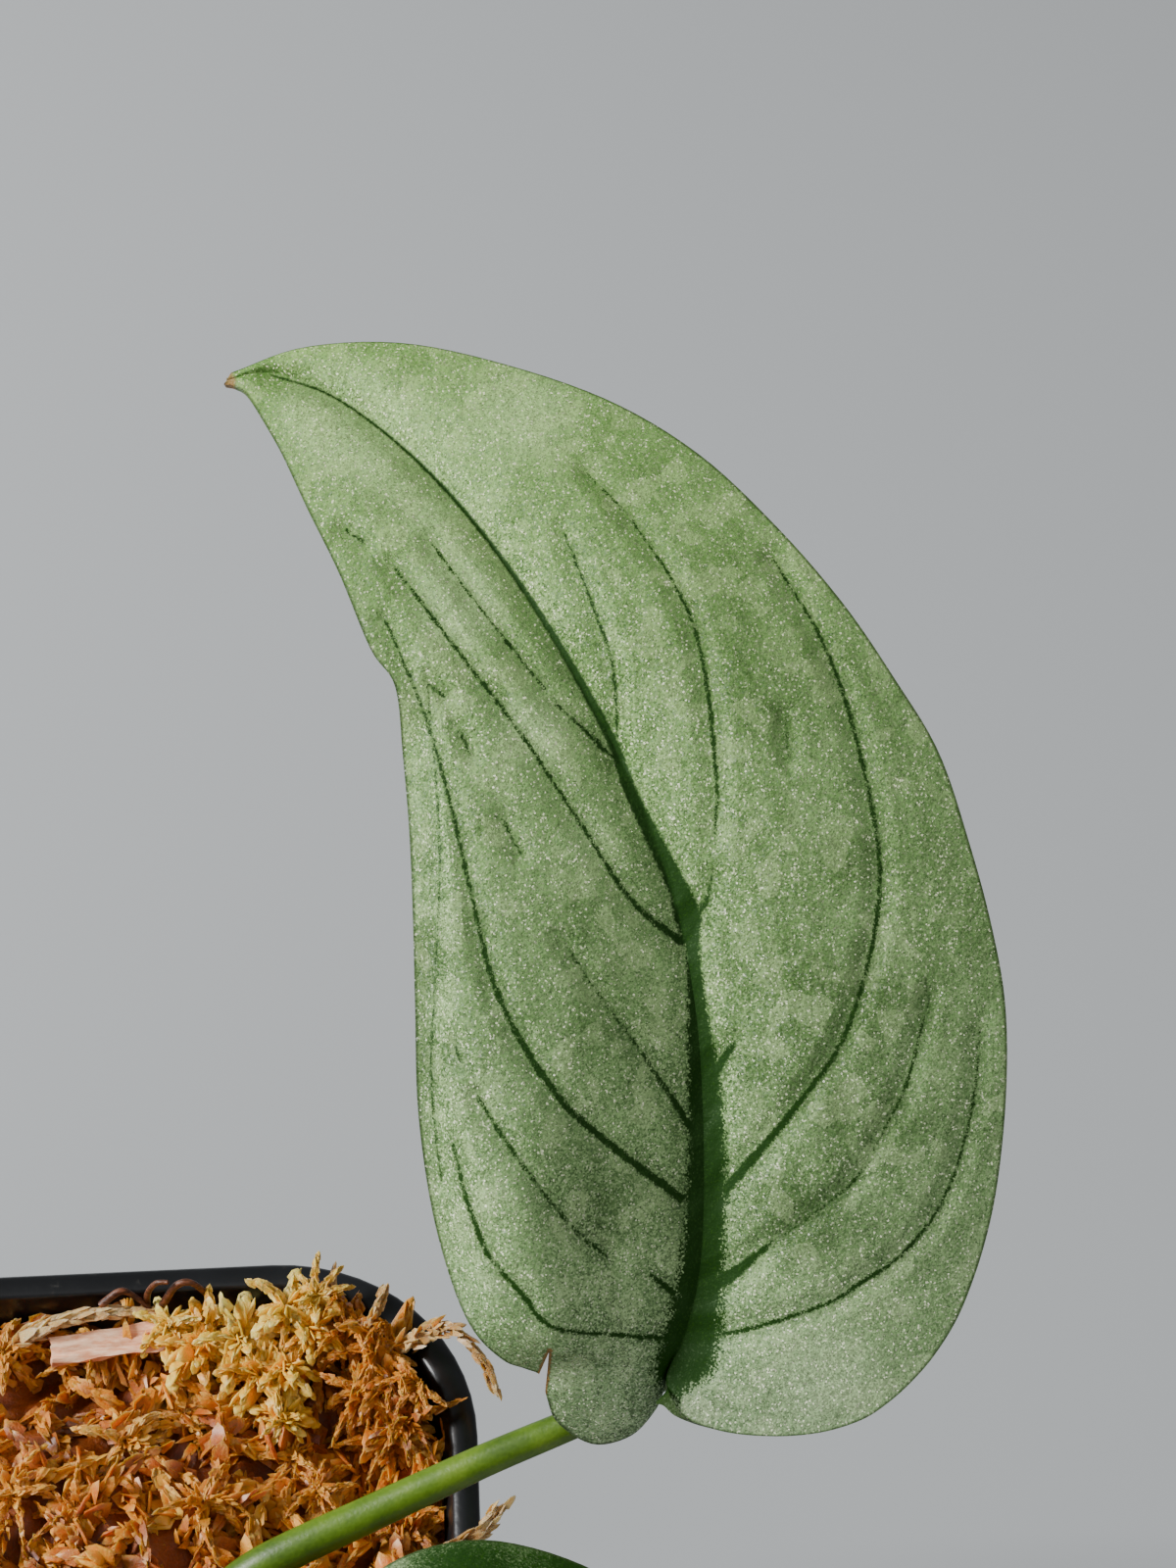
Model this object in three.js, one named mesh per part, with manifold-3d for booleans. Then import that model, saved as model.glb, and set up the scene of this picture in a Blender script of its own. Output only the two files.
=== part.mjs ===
import * as THREE from 'three';
import { mergeVertices } from 'three/addons/utils/BufferGeometryUtils.js';
import Module from 'manifold-3d';

// A young scindapsus vine with two leaves, rooted in sphagnum moss in a square nursery pot.
// Millimetres, +Z up. The origin is the centre of the pot's base, X and Y run along its sides.

const GAP = 0.35; // air between neighbouring pieces

// Pot
const POT_TOP = 68; // across the rim, outside
const POT_BASE = 50; // across the foot, outside
const POT_HEIGHT = 66;
const WALL = 1.2;
const FLOOR = 1.6;
const FOOT_BEVEL = 0.8;
const LIP_BEVEL = 0.5;
const RIM_BAND = 8; // height of the stiffened band under the rim
const RIM_PROUD = 1; // how far that band stands out from the wall
const CORNER_SHARE = 0.49; // corner radius as a share of the half width
const CORNER_STEPS = 5;
const DRAIN_HOLES = { count: 4, radius: 3.2, out: 14, sides: 16 };

// Moss. Each strand is drawn between two limits of reach along the bed, rise above it and radius.
const MOSS_AT_WALL = 62.2; // height of the moss where it meets the pot
const MOSS_CROWN = { rise: 5, inner: 8, outer: 31 }; // the middle is that much higher
const MOSS_LUMPS = 0.8;
const MOSS_RINGS = [1, 0.87, 0.72, 0.56, 0.4, 0.24, 0.1];
const ROOM_ABOVE_RIM = 20;
const STRAND_ENDS = 2; // how deep the ends of a strand are sunk
const BED_STRANDS = { seed: 3, rows: 7, inset: 3, reach: [8, 17], rise: [1.2, 3.4], radius: [1.1, 2] };
const GOLDEN_HEART = { at: [16, 26.5, 66], size: [7, 4.5, 4.5] };
const GOLDEN_STRANDS = {
  seed: 7, count: 14, spread: [5.5, 2.5], reach: [6, 11], rise: [6, 9.5], radius: [1.1, 1.8],
};

// Loose strands placed one by one: the arch and the bud over the right rim, the tuft and the knob.
const LONE_STRANDS = [
  {
    radius: 1.1,
    route: [[25, 25, 63], [29, 24.8, 68.6], [32.2, 23.9, 71.6], [34.6, 21.6, 70.6], [35.4, 20.2, 68.8]],
  },
  { radius: 1.15, route: [[26, 4, 62], [30.6, 6, 67.6], [33.8, 7.6, 68.2], [35.6, 9.4, 68.6]] },
  { radius: 1.2, route: [[24.5, 25.5, 62], [25.2, 26.4, 66.8], [26.6, 28, 70.4]] },
  { radius: 1.3, route: [[22, 26, 62], [22, 27.8, 66.5], [22.6, 29.6, 69.4]] },
];

// Stem and roots
const STEM_RADIUS = 1.9;
const STEM_ROUTE = [[12.2, -2.8, 42], [13.4, -1.4, 52], [14.8, -0.2, 62], [15.7, 0.4, 72.5]];
const STEM_JOINTS = { heights: [57, 70.5], swell: 0.35, reach: 1.3 };
const ROOTS = { count: 4, radius: 0.9, below: 0.7, spread: 6.5, length: 22 };

// Leaf stalks. The large leaf's route is in its blade's own frame, the small leaf's in the part's.
const STALK_SHEATH = 0.3; // extra radius where a stalk clasps the stem
const STALK_KNEE = 0.15; // extra radius just below the blade
const LARGE_STALK = {
  low: 1.5,
  high: 1.1,
  route: [
    [-33.4, -18.0, -8.6], [-31.1, -15.6, -8.2], [-27.8, -13.7, -8.0], [-22.2, -11.1, -8.0],
    [-17.6, -8.9, -7.8], [-12.9, -6.7, -7.6], [-7.0, -4.2, -7.5], [-3.4, -2.5, -7.1],
    [-1.1, -0.9, -6.2], [0.5, 0.9, -4.7],
  ],
};
const SMALL_STALK = {
  low: 1.35,
  high: 1.0,
  route: [
    [15.6, 0.2, 66.5], [16.6, -1.9, 70.0], [18.6, -6.2, 77.0], [21.6, -11.2, 84.5], [25.3, -16.6, 89.0],
  ],
};

// Blades: where the heart of each leaf is and how its plane is turned, in degrees.
const LARGE_LEAF = { heart: [47.99, 8.95, 87.43], yaw: -3, tilt: 40, roll: 0 };
const SMALL_LEAF = { heart: [25.4, -16.8, 90], yaw: -126.9, tilt: -6, roll: -6 };
const BLADE_THICKNESS = 0.65;
const RIB = { deep: 0.8, half: 0.9, fade: 0.9 }; // the rib under the midrib, fading to the tip
const BLADE_COLUMNS = 8; // grid columns on each side of the midrib
const BLADE_STEPS = 2; // grid rows for each station

// The form of the large blade, as heights off its plane. Shares run from 0 at the midrib to 1 at
// the margin.
const LARGE_FORM = {
  bow: { deep: 3, middle: 34, reach: 40 }, // heart and tip both bow back
  tip: { deep: 5, from: 52, to: 80 }, // and the tip droops further
  hump: 0.15, // each half rises to a crest this share of its width
  crest: { left: 0.68, right: 0.42 }, // at this share of the way to the margin
  fall: { left: 0.8, right: 1.2 }, // and falls again through this angle, in radians
  rolledMargin: { deep: 2.2, from: 0.82, foot: [4, 12], head: [46, 52] },
  foldedLobe: { crease: 3.1, slope: 0.34 }, // the small left lobe, below its crease
  liftedLobe: { from: 8, slope: 0.16 }, // the right lobe
};
const SMALL_FORM = { arch: 9, length: 52, lobes: 0.05, hump: 0.17, crest: 0.625 };

// Each row is one station of a blade, in its own plane: where its cross line leaves the midrib,
// where it meets the left margin, and where it meets the right margin. Y runs from the heart of
// the leaf to its tip.
const LARGE_STATIONS = [
  [0.2, 0.0, 0.1, -0.7, 0.4, -0.6], // heart, where the stalk joins
  [0.2, 0.5, -0.6, -2.4, 1.6, -2.2],
  [0.4, 1.1, -2.4, -4.4, 4.4, -3.2],
  [0.7, 1.8, -5.2, -5.0, 8.0, -3.5], // bottom of both lobes
  [1.1, 2.6, -7.8, -3.2, 11.4, -3.2],
  [1.4, 3.3, -8.8, -1.2, 14.3, -2.3],
  [1.6, 4.0, -9.3, 0.1, 16.2, -1.1],
  [1.8, 4.7, -10.2, 0.9, 18.0, 0.5],
  [2.1, 5.8, -11.7, 1.6, 19.8, 2.6],
  [2.5, 7.7, -14.0, 4.5, 21.6, 5.6],
  [2.8, 10.8, -15.7, 8.5, 23.1, 9.7],
  [2.9, 15.1, -17.0, 13.6, 24.2, 14.9],
  [2.8, 20.5, -17.9, 20.5, 24.8, 21.7], // widest
  [2.4, 26.6, -18.1, 27.7, 24.7, 28.1],
  [1.4, 32.7, -18.3, 34.8, 23.7, 33.8],
  [-0.1, 38.4, -18.6, 40.9, 22.1, 39.8],
  [-2.1, 43.7, -19.1, 46.4, 19.9, 46.4],
  [-4.8, 48.9, -19.6, 51.2, 16.7, 51.8], // the kink in the left margin
  [-7.9, 54.3, -21.4, 53.9, 12.9, 57.5],
  [-11.2, 59.6, -23.8, 59.5, 8.1, 63.3],
  [-14.9, 64.6, -26.3, 64.4, 2.6, 68.7],
  [-19.3, 69.2, -28.4, 68.7, -3.9, 72.8],
  [-23.8, 72.7, -30.1, 71.6, -11.8, 75.7],
  [-27.7, 74.7, -31.3, 73.4, -19.6, 77.4],
  [-30.5, 75.1, -32.2, 74.0, -27.0, 77.1],
  [-32.8, 74.5, -33.0, 74.2, -32.5, 75.1], // tip, swung to the left
];

// The tear in the large blade's left margin, as a wedge in the blade's plane with its point inside.
const LARGE_TEAR = [[-9.8, -0.7], [-8.3, 2.9], [-8.95, -1.2]];
const TEAR_DEPTH = 16; // from clear above the blade to clear below it
const SMALL_STATIONS = [
  [0.0, 0.4, -0.2, -0.7, 0.4, -0.6],
  [0.1, 1.2, -2.5, -4.6, 2.4, -4.0],
  [0.2, 2.2, -7.0, -6.3, 6.5, -5.2],
  [0.3, 3.4, -12.0, -5.0, 10.5, -4.2],
  [0.4, 5.2, -16.3, -0.5, 13.8, -0.6],
  [0.3, 8.5, -18.8, 6.0, 15.8, 5.2],
  [0.1, 13.5, -19.2, 13.0, 16.5, 12.0],
  [0.0, 19.5, -18.0, 20.5, 15.8, 19.5],
  [0.2, 26.0, -15.5, 28.0, 13.8, 27.5],
  [0.8, 33.0, -11.8, 35.5, 10.8, 35.5],
  [1.8, 40.0, -7.3, 42.5, 7.6, 42.8],
  [3.2, 46.0, -1.8, 47.6, 5.8, 47.8],
  [4.6, 51.5, 4.2, 51.6, 5.0, 51.3],
];

const wasm = await Module();
wasm.setup();

const vector = (xyz) => new THREE.Vector3(...xyz);
const smooth = (low, high, value) => THREE.MathUtils.smoothstep(value, low, high);

// A repeatable run of numbers from 0 to 1.
function seeded(seed) {
  let state = seed;
  return () => {
    state = (state * 1664525 + 1013904223) % 4294967296;
    return state / 4294967296;
  };
}

function meshOf(points, faces) {
  const geometry = new THREE.BufferGeometry();
  const numbers = points.flatMap((point) => point.toArray());
  geometry.setAttribute('position', new THREE.Float32BufferAttribute(numbers, 3));
  geometry.setIndex(faces.flat());
  return geometry;
}

// Joins a row of equal rings into a closed skin, with a point at the middle of each end.
// Every ring runs anticlockwise as seen from the far end.
function loft(rings) {
  const count = rings[0].length;
  const points = rings.flat();
  const faces = [];
  for (let ring = 0; ring + 1 < rings.length; ring++) {
    for (let k = 0; k < count; k++) {
      const a = ring * count + k;
      const b = ring * count + ((k + 1) % count);
      faces.push([a, b, b + count], [a, b + count, a + count]);
    }
  }
  const middle = (ring) => ring.reduce((sum, p) => sum.add(p), new THREE.Vector3()).divideScalar(count);
  const start = points.push(middle(rings[0])) - 1;
  const end = points.push(middle(rings.at(-1))) - 1;
  const last = (rings.length - 1) * count;
  for (let k = 0; k < count; k++) {
    const next = (k + 1) % count;
    faces.push([start, next, k], [end, last + k, last + next]);
  }
  return meshOf(points, faces);
}

// A tube along a smooth curve. radiusAt gives its radius from 0 at the start to 1 at the end,
// flat is how much thinner it is in one direction, and grow adds that much on every side,
// which is how the hollow that a piece lies in is cut.
function tube(route, radiusAt, { sides, steps, flat = 1, grow = 0 }) {
  const curve = new THREE.CatmullRomCurve3(route);
  const frames = curve.computeFrenetFrames(steps, false);
  const rings = [];
  for (let i = 0; i <= steps; i++) {
    const share = i / steps;
    const centre = curve.getPointAt(share);
    const ring = [];
    for (let k = 0; k < sides; k++) {
      const angle = (2 * Math.PI * k) / sides;
      const point = centre.clone();
      point.addScaledVector(frames.normals[i], Math.cos(angle) * (radiusAt(share) + grow));
      point.addScaledVector(frames.binormals[i], Math.sin(angle) * (radiusAt(share) * flat + grow));
      ring.push(point);
    }
    rings.push(ring);
  }
  if (grow > 0) {
    const pushed = (i, way) => rings[i].map((p) => p.clone().addScaledVector(frames.tangents[i], way));
    return loft([pushed(0, -grow), ...rings, pushed(steps, grow)]);
  }
  return loft(rings);
}

function solid(geometry) {
  const bare = geometry.clone();
  bare.deleteAttribute('normal');
  bare.deleteAttribute('uv');
  const merged = mergeVertices(bare, 1e-4);
  const vertProperties = new Float32Array(merged.attributes.position.array);
  const triVerts = new Uint32Array(merged.index.array);
  return new wasm.Manifold(new wasm.Mesh({ numProp: 3, vertProperties, triVerts }));
}

// The largest connected body of a solid, without loose scraps or sealed hollows.
function geometryOf(body) {
  const largest = body.decompose().sort((a, b) => b.volume() - a.volume())[0];
  const mesh = largest.getMesh();
  const geometry = new THREE.BufferGeometry();
  geometry.setAttribute('position', new THREE.BufferAttribute(mesh.vertProperties, 3));
  geometry.setIndex(new THREE.BufferAttribute(mesh.triVerts, 1));
  return geometry;
}

const joined = (bodies) => bodies.reduce((sum, body) => sum.add(body));

// A square with rounded corners, anticlockwise from above.
function roundedSquare(half, z) {
  const radius = half * CORNER_SHARE;
  const ring = [];
  for (let corner = 0; corner < 4; corner++) {
    for (let k = 0; k <= CORNER_STEPS; k++) {
      const angle = (Math.PI / 2) * (corner + k / CORNER_STEPS);
      const side = Math.PI / 4 + (Math.PI / 2) * corner;
      const x = Math.sign(Math.cos(side)) * (half - radius) + radius * Math.cos(angle);
      const y = Math.sign(Math.sin(side)) * (half - radius) + radius * Math.sin(angle);
      ring.push(new THREE.Vector3(x, y, z));
    }
  }
  return ring;
}

const outerHalf = (z) => THREE.MathUtils.lerp(POT_BASE / 2, POT_TOP / 2 - RIM_PROUD, z / POT_HEIGHT);
const innerHalf = (z) => outerHalf(Math.min(z, POT_HEIGHT)) - WALL;

function potGeometry() {
  const band = POT_HEIGHT - RIM_BAND;
  const shoulder = POT_HEIGHT - LIP_BEVEL;
  const shell = loft([
    roundedSquare(POT_BASE / 2 - FOOT_BEVEL, 0),
    roundedSquare(outerHalf(FOOT_BEVEL), FOOT_BEVEL),
    roundedSquare(outerHalf(band), band),
    roundedSquare(outerHalf(band) + RIM_PROUD, band + LIP_BEVEL),
    roundedSquare(POT_TOP / 2, shoulder),
    roundedSquare(POT_TOP / 2 - LIP_BEVEL, POT_HEIGHT),
    roundedSquare(innerHalf(POT_HEIGHT) + LIP_BEVEL, POT_HEIGHT),
    roundedSquare(innerHalf(shoulder), shoulder),
    roundedSquare(innerHalf(FLOOR), FLOOR),
  ]);
  const { count, radius, out, sides } = DRAIN_HOLES;
  const drains = [];
  for (let k = 0; k < count; k++) {
    const angle = (2 * Math.PI * k) / count;
    const drill = new THREE.CylinderGeometry(radius, radius, 3 * FLOOR, sides);
    drill.rotateX(Math.PI / 2);
    drill.translate(out * Math.cos(angle), out * Math.sin(angle), FLOOR / 2);
    drains.push(solid(drill));
  }
  return geometryOf(solid(shell).subtract(joined(drains)));
}

// The height of the moss's lumpy top.
function mossTop(x, y) {
  const crown = MOSS_CROWN.rise * (1 - smooth(MOSS_CROWN.inner, MOSS_CROWN.outer, Math.hypot(x, y)));
  const lumps = Math.sin(0.42 * x + 1.3) * Math.cos(0.37 * y - 0.6) + 0.6 * Math.sin(0.9 * x - 0.7 * y);
  return MOSS_AT_WALL + crown + MOSS_LUMPS * lumps;
}

function mossCore() {
  const foot = FLOOR + GAP;
  const rings = [roundedSquare(innerHalf(foot) - GAP, foot)];
  const half = innerHalf(MOSS_AT_WALL - 2 * MOSS_LUMPS) - GAP;
  for (const share of MOSS_RINGS) {
    const ring = roundedSquare(half * share, 0);
    ring.forEach((p) => p.setZ(mossTop(p.x, p.y)));
    rings.push(ring);
  }
  return solid(loft(rings));
}

// The room inside the pot, carried straight up above the rim. The moss stays within it.
function mossRoom() {
  const heights = [FLOOR + GAP, POT_HEIGHT, POT_HEIGHT + ROOM_ABOVE_RIM];
  return solid(loft(heights.map((z) => roundedSquare(innerHalf(z) - GAP, z))));
}

// One moss strand about x, y: a flattened, tapered arch from one sunken end to the other.
function strand(random, x, y, { reach, rise, radius }, grow) {
  const between = ([low, high]) => low + (high - low) * random();
  const heading = between([0, 2 * Math.PI]);
  const length = between(reach);
  const height = between(rise);
  const bend = length * between([-0.35, 0.35]);
  const fat = between(radius);
  const along = new THREE.Vector2(Math.cos(heading), Math.sin(heading));
  const lifts = [-STRAND_ENDS, 0.8 * height, height, 0.5 * height, -STRAND_ENDS];
  const route = lifts.map((lift, i) => {
    const share = i / (lifts.length - 1);
    const forward = (share - 0.5) * length;
    const aside = bend * Math.sin(Math.PI * share);
    const px = x + along.x * forward - along.y * aside;
    const py = y + along.y * forward + along.x * aside;
    return new THREE.Vector3(px, py, mossTop(px, py) + lift);
  });
  const radiusAt = (share) => fat * (0.55 + 0.45 * Math.sin(Math.PI * share));
  return solid(tube(route, radiusAt, { sides: 4, steps: 4, flat: 0.7, grow }));
}

// Strands over the whole bed, each somewhere in its own square of a grid.
function bedStrands() {
  const { seed, rows, inset } = BED_STRANDS;
  const random = seeded(seed);
  const half = innerHalf(MOSS_AT_WALL) - inset;
  const step = (2 * half) / rows;
  const parts = [];
  for (let k = 0; k < rows ** 2; k++) {
    const x = -half + step * ((k % rows) + random());
    const y = -half + step * (Math.floor(k / rows) + random());
    parts.push(strand(random, x, y, BED_STRANDS, 0));
  }
  return joined(parts);
}

// The golden clump: strands round a small heart that holds them together.
function goldenMoss(grow = 0) {
  const { seed, count, spread } = GOLDEN_STRANDS;
  const random = seeded(seed);
  const heart = new THREE.IcosahedronGeometry(1, 1);
  heart.scale(...GOLDEN_HEART.size.map((radius) => radius + grow));
  heart.translate(...GOLDEN_HEART.at);
  const parts = [solid(heart)];
  for (let k = 0; k < count; k++) {
    const x = GOLDEN_HEART.at[0] + spread[0] * (2 * random() - 1);
    const y = GOLDEN_HEART.at[1] + spread[1] * (2 * random() - 1);
    parts.push(strand(random, x, y, GOLDEN_STRANDS, grow));
  }
  return joined(parts);
}

function loneStrands() {
  return joined(LONE_STRANDS.map(({ route, radius }) => {
    const radiusAt = (share) => radius * (1 - 0.35 * share);
    return solid(tube(route.map(vector), radiusAt, { sides: 5, steps: 6 }));
  }));
}

function stemBody(grow = 0) {
  const foot = STEM_ROUTE[0][2];
  const top = STEM_ROUTE.at(-1)[2];
  const { heights, swell, reach } = STEM_JOINTS;
  const radiusAt = (share) => {
    const z = THREE.MathUtils.lerp(foot, top, share);
    const near = heights.map((height) => Math.exp(-(((z - height) / reach) ** 2)));
    const tip = 1 - 0.45 * smooth(0.95, 1, share);
    return STEM_RADIUS * tip + swell * Math.max(...near);
  };
  return solid(tube(STEM_ROUTE.map(vector), radiusAt, { sides: 10, steps: 20, grow }));
}

// Roots that leave the cut end of the stem and wander down through the moss, each longer than
// the last.
function rootBody(grow = 0) {
  const { count, radius, below, spread, length } = ROOTS;
  const crown = vector(STEM_ROUTE[0]).setZ(STEM_ROUTE[0][2] - radius - below);
  const roots = [];
  for (let k = 0; k < count; k++) {
    const angle = 0.6 + 1.7 * k;
    const at = (out, down) => crown.clone().add(
      new THREE.Vector3(out * Math.cos(angle), out * Math.sin(angle), -down),
    );
    const end = at(0.8 * spread, length + 3 * k).add(new THREE.Vector3(1, 2, 0));
    const route = [at(-0.1 * spread, 0), at(0.45 * spread, 3), at(spread, 0.55 * length), end];
    const radiusAt = (share) => radius * (1.15 - 0.6 * share);
    roots.push(solid(tube(route, radiusAt, { sides: 5, steps: 6, grow })));
  }
  return joined(roots);
}

function placed(leaf) {
  const { degToRad } = THREE.MathUtils;
  const turn = new THREE.Euler(degToRad(leaf.tilt), degToRad(leaf.roll), degToRad(leaf.yaw), 'ZXY');
  return new THREE.Matrix4().makeRotationFromEuler(turn).setPosition(...leaf.heart);
}

// How far the large blade's upper face stands off its plane.
function largeRelief({ y, share, width, left }) {
  const { bow, tip, rolledMargin, foldedLobe, liftedLobe } = LARGE_FORM;
  const side = left ? 'left' : 'right';
  const crest = LARGE_FORM.crest[side];
  const arch = -bow.deep * ((y - bow.middle) / bow.reach) ** 2 - tip.deep * smooth(tip.from, tip.to, y);
  const rise = Math.sin((Math.PI / 2) * Math.min(share / crest, 1));
  const fall = Math.cos(LARGE_FORM.fall[side] * Math.max((share - crest) / (1 - crest), 0));
  const height = arch + LARGE_FORM.hump * width * rise * fall;
  if (!left) {
    return height + liftedLobe.slope * share * Math.max(liftedLobe.from - y, 0);
  }
  const stretch = smooth(...rolledMargin.foot, y) * (1 - smooth(...rolledMargin.head, y));
  const rolled = rolledMargin.deep * smooth(rolledMargin.from, 1, share) * stretch;
  return height - rolled - foldedLobe.slope * Math.max(foldedLobe.crease - y, 0);
}

function smallRelief({ y, share, width }) {
  const { arch, length, lobes, hump, crest } = SMALL_FORM;
  const bowed = arch * (y / length) ** 2 + lobes * Math.max(-y, 0) ** 2;
  return hump * width * Math.sin((Math.PI / 2) * Math.min(share / crest, 2)) - bowed;
}

// The upper face of a blade as a grid of points, one row after another from heart to tip, with
// the left margin first. grow makes the outline that much wider and longer at the heart.
function upperFace(stations, relief, grow) {
  const rail = (column) => new THREE.CatmullRomCurve3(
    stations.map((row) => new THREE.Vector3(row[column], row[column + 1], 0)),
  );
  const [midrib, leftMargin, rightMargin] = [0, 2, 4].map(rail);
  const rows = (stations.length - 1) * BLADE_STEPS;
  const points = [];
  for (let row = 0; row <= rows; row++) {
    const along = row / rows;
    const middle = midrib.getPoint(along);
    for (let column = -BLADE_COLUMNS; column <= BLADE_COLUMNS; column++) {
      const left = column < 0;
      const edge = (left ? leftMargin : rightMargin).getPoint(along);
      const width = middle.distanceTo(edge);
      const share = Math.abs(column) / BLADE_COLUMNS;
      const point = middle.clone().lerp(edge, share * (1 + grow / width));
      point.z = relief({ y: point.y, share, width, left });
      if (row === 0) {
        point.y -= 2 * grow;
      }
      points.push({ point, fromMidrib: share * width, along });
    }
  }
  return points;
}

// The triangles of a grid, and its points in order round the border.
function gridFaces(rows, columns) {
  const across = columns + 1;
  const faces = [];
  for (let row = 0; row < rows; row++) {
    for (let column = 0; column < columns; column++) {
      const a = row * across + column;
      faces.push([a, a + 1, a + across + 1], [a, a + across + 1, a + across]);
    }
  }
  const run = (count, pointAt) => Array.from({ length: count }, (_, k) => pointAt(k));
  const border = [
    ...run(columns, (k) => k),
    ...run(rows, (k) => k * across + columns),
    ...run(columns, (k) => rows * across + columns - k),
    ...run(rows, (k) => (rows - k) * across),
  ];
  return { faces, border };
}

// A blade: its upper face, thickened to the underside along its own normals, with a rib under the
// midrib. grow adds that much all round.
function bladeGeometry(stations, relief, grow = 0) {
  const upper = upperFace(stations, relief, grow);
  const { faces, border } = gridFaces((stations.length - 1) * BLADE_STEPS, 2 * BLADE_COLUMNS);
  const face = meshOf(upper.map(({ point }) => point), faces);
  face.computeVertexNormals();
  const normal = (i) => new THREE.Vector3().fromBufferAttribute(face.attributes.normal, i);
  const over = upper.map(({ point }, i) => point.clone().addScaledVector(normal(i), grow));
  const under = upper.map(({ point, fromMidrib, along }, i) => {
    const rib = RIB.deep * (1 - RIB.fade * along) * Math.exp(-((fromMidrib / RIB.half) ** 2));
    return point.clone().addScaledVector(normal(i), -(BLADE_THICKNESS + rib + grow));
  });
  const offset = upper.length;
  const lower = faces.map(([a, b, c]) => [a + offset, c + offset, b + offset]);
  const sides = border.flatMap((a, i) => {
    const b = border[(i + 1) % border.length];
    return [[a, a + offset, b + offset], [a, b + offset, b]];
  });
  return meshOf([...over, ...under], [...faces, ...lower, ...sides]);
}

// The large blade, torn at its left margin.
function largeBlade() {
  const outline = new THREE.Shape(LARGE_TEAR.map((xy) => new THREE.Vector2(...xy)));
  const wedge = new THREE.ExtrudeGeometry(outline, { depth: TEAR_DEPTH, bevelEnabled: false });
  wedge.translate(0, 0, -TEAR_DEPTH / 2);
  return geometryOf(solid(bladeGeometry(LARGE_STATIONS, largeRelief)).subtract(solid(wedge)));
}

function stalkBody({ route, low, high }, grow = 0) {
  const radiusAt = (share) => {
    const sheath = STALK_SHEATH * (1 - smooth(0, 0.12, share));
    const knee = STALK_KNEE * smooth(0.86, 0.97, share);
    return THREE.MathUtils.lerp(low, high, smooth(0, 0.8, share)) + sheath + knee;
  };
  return solid(tube(route, radiusAt, { sides: 10, steps: 18, grow }));
}

const largeFrame = placed(LARGE_LEAF);
const smallFrame = placed(SMALL_LEAF);
const largeStalkRoute = LARGE_STALK.route.map((xyz) => vector(xyz).applyMatrix4(largeFrame));
const smallStalkRoute = SMALL_STALK.route.map(vector);

const stalks = [
  {
    name: 'petiole_large',
    shape: { ...LARGE_STALK, route: largeStalkRoute },
    blade: bladeGeometry(LARGE_STATIONS, largeRelief, GAP).applyMatrix4(largeFrame),
  },
  {
    name: 'petiole_small',
    shape: { ...SMALL_STALK, route: smallStalkRoute },
    blade: bladeGeometry(SMALL_STATIONS, smallRelief, GAP).applyMatrix4(smallFrame),
  },
];
const clearance = joined([
  stemBody(GAP),
  rootBody(GAP),
  ...stalks.map(({ shape }) => stalkBody(shape, GAP)),
]);

const room = mossRoom();
const bed = mossCore()
  .add(bedStrands())
  .intersect(room)
  .add(loneStrands())
  .subtract(goldenMoss(GAP))
  .subtract(clearance);
const golden = goldenMoss().intersect(room).subtract(clearance);

const materials = {
  pot: { color: 0x14161a, roughness: 0.35, metalness: 0 },
  moss: { color: 0x9c5f26, roughness: 0.9, metalness: 0 },
  golden: { color: 0xdcae5c, roughness: 0.85, metalness: 0 },
  root: { color: 0xb89a6a, roughness: 0.8, metalness: 0 },
  stem: { color: 0x57702a, roughness: 0.5, metalness: 0 },
  blade: { color: 0x8fa87b, roughness: 0.45, metalness: 0 },
  bladeSmall: { color: 0x4a5a2c, roughness: 0.45, metalness: 0 },
};

const plant = new THREE.Group();

function addMesh(name, geometry, look, parent = plant) {
  const mesh = new THREE.Mesh(geometry, new THREE.MeshStandardMaterial(look));
  mesh.name = name;
  parent.add(mesh);
}

function addLeaf(name, geometry, look, frame) {
  const leaf = new THREE.Group();
  leaf.applyMatrix4(frame);
  addMesh(name, geometry, look, leaf);
  plant.add(leaf);
}

addMesh('pot', potGeometry(), materials.pot);
addMesh('moss_bed', geometryOf(bed), materials.moss);
addMesh('moss_golden', geometryOf(golden), materials.golden);
addMesh('stem', geometryOf(stemBody()), materials.stem);
addMesh('roots', geometryOf(rootBody()), materials.root);
for (const { name, shape, blade } of stalks) {
  const stalk = stalkBody(shape).subtract(stemBody(GAP)).subtract(solid(blade));
  addMesh(name, geometryOf(stalk), materials.stem);
}
addLeaf('blade_large', largeBlade(), materials.blade, largeFrame);
addLeaf('blade_small', bladeGeometry(SMALL_STATIONS, smallRelief), materials.bladeSmall, smallFrame);

export default plant;
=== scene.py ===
import math
import random

import bmesh
import bpy
import numpy as np
from mathutils import Matrix, Vector, noise


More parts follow.
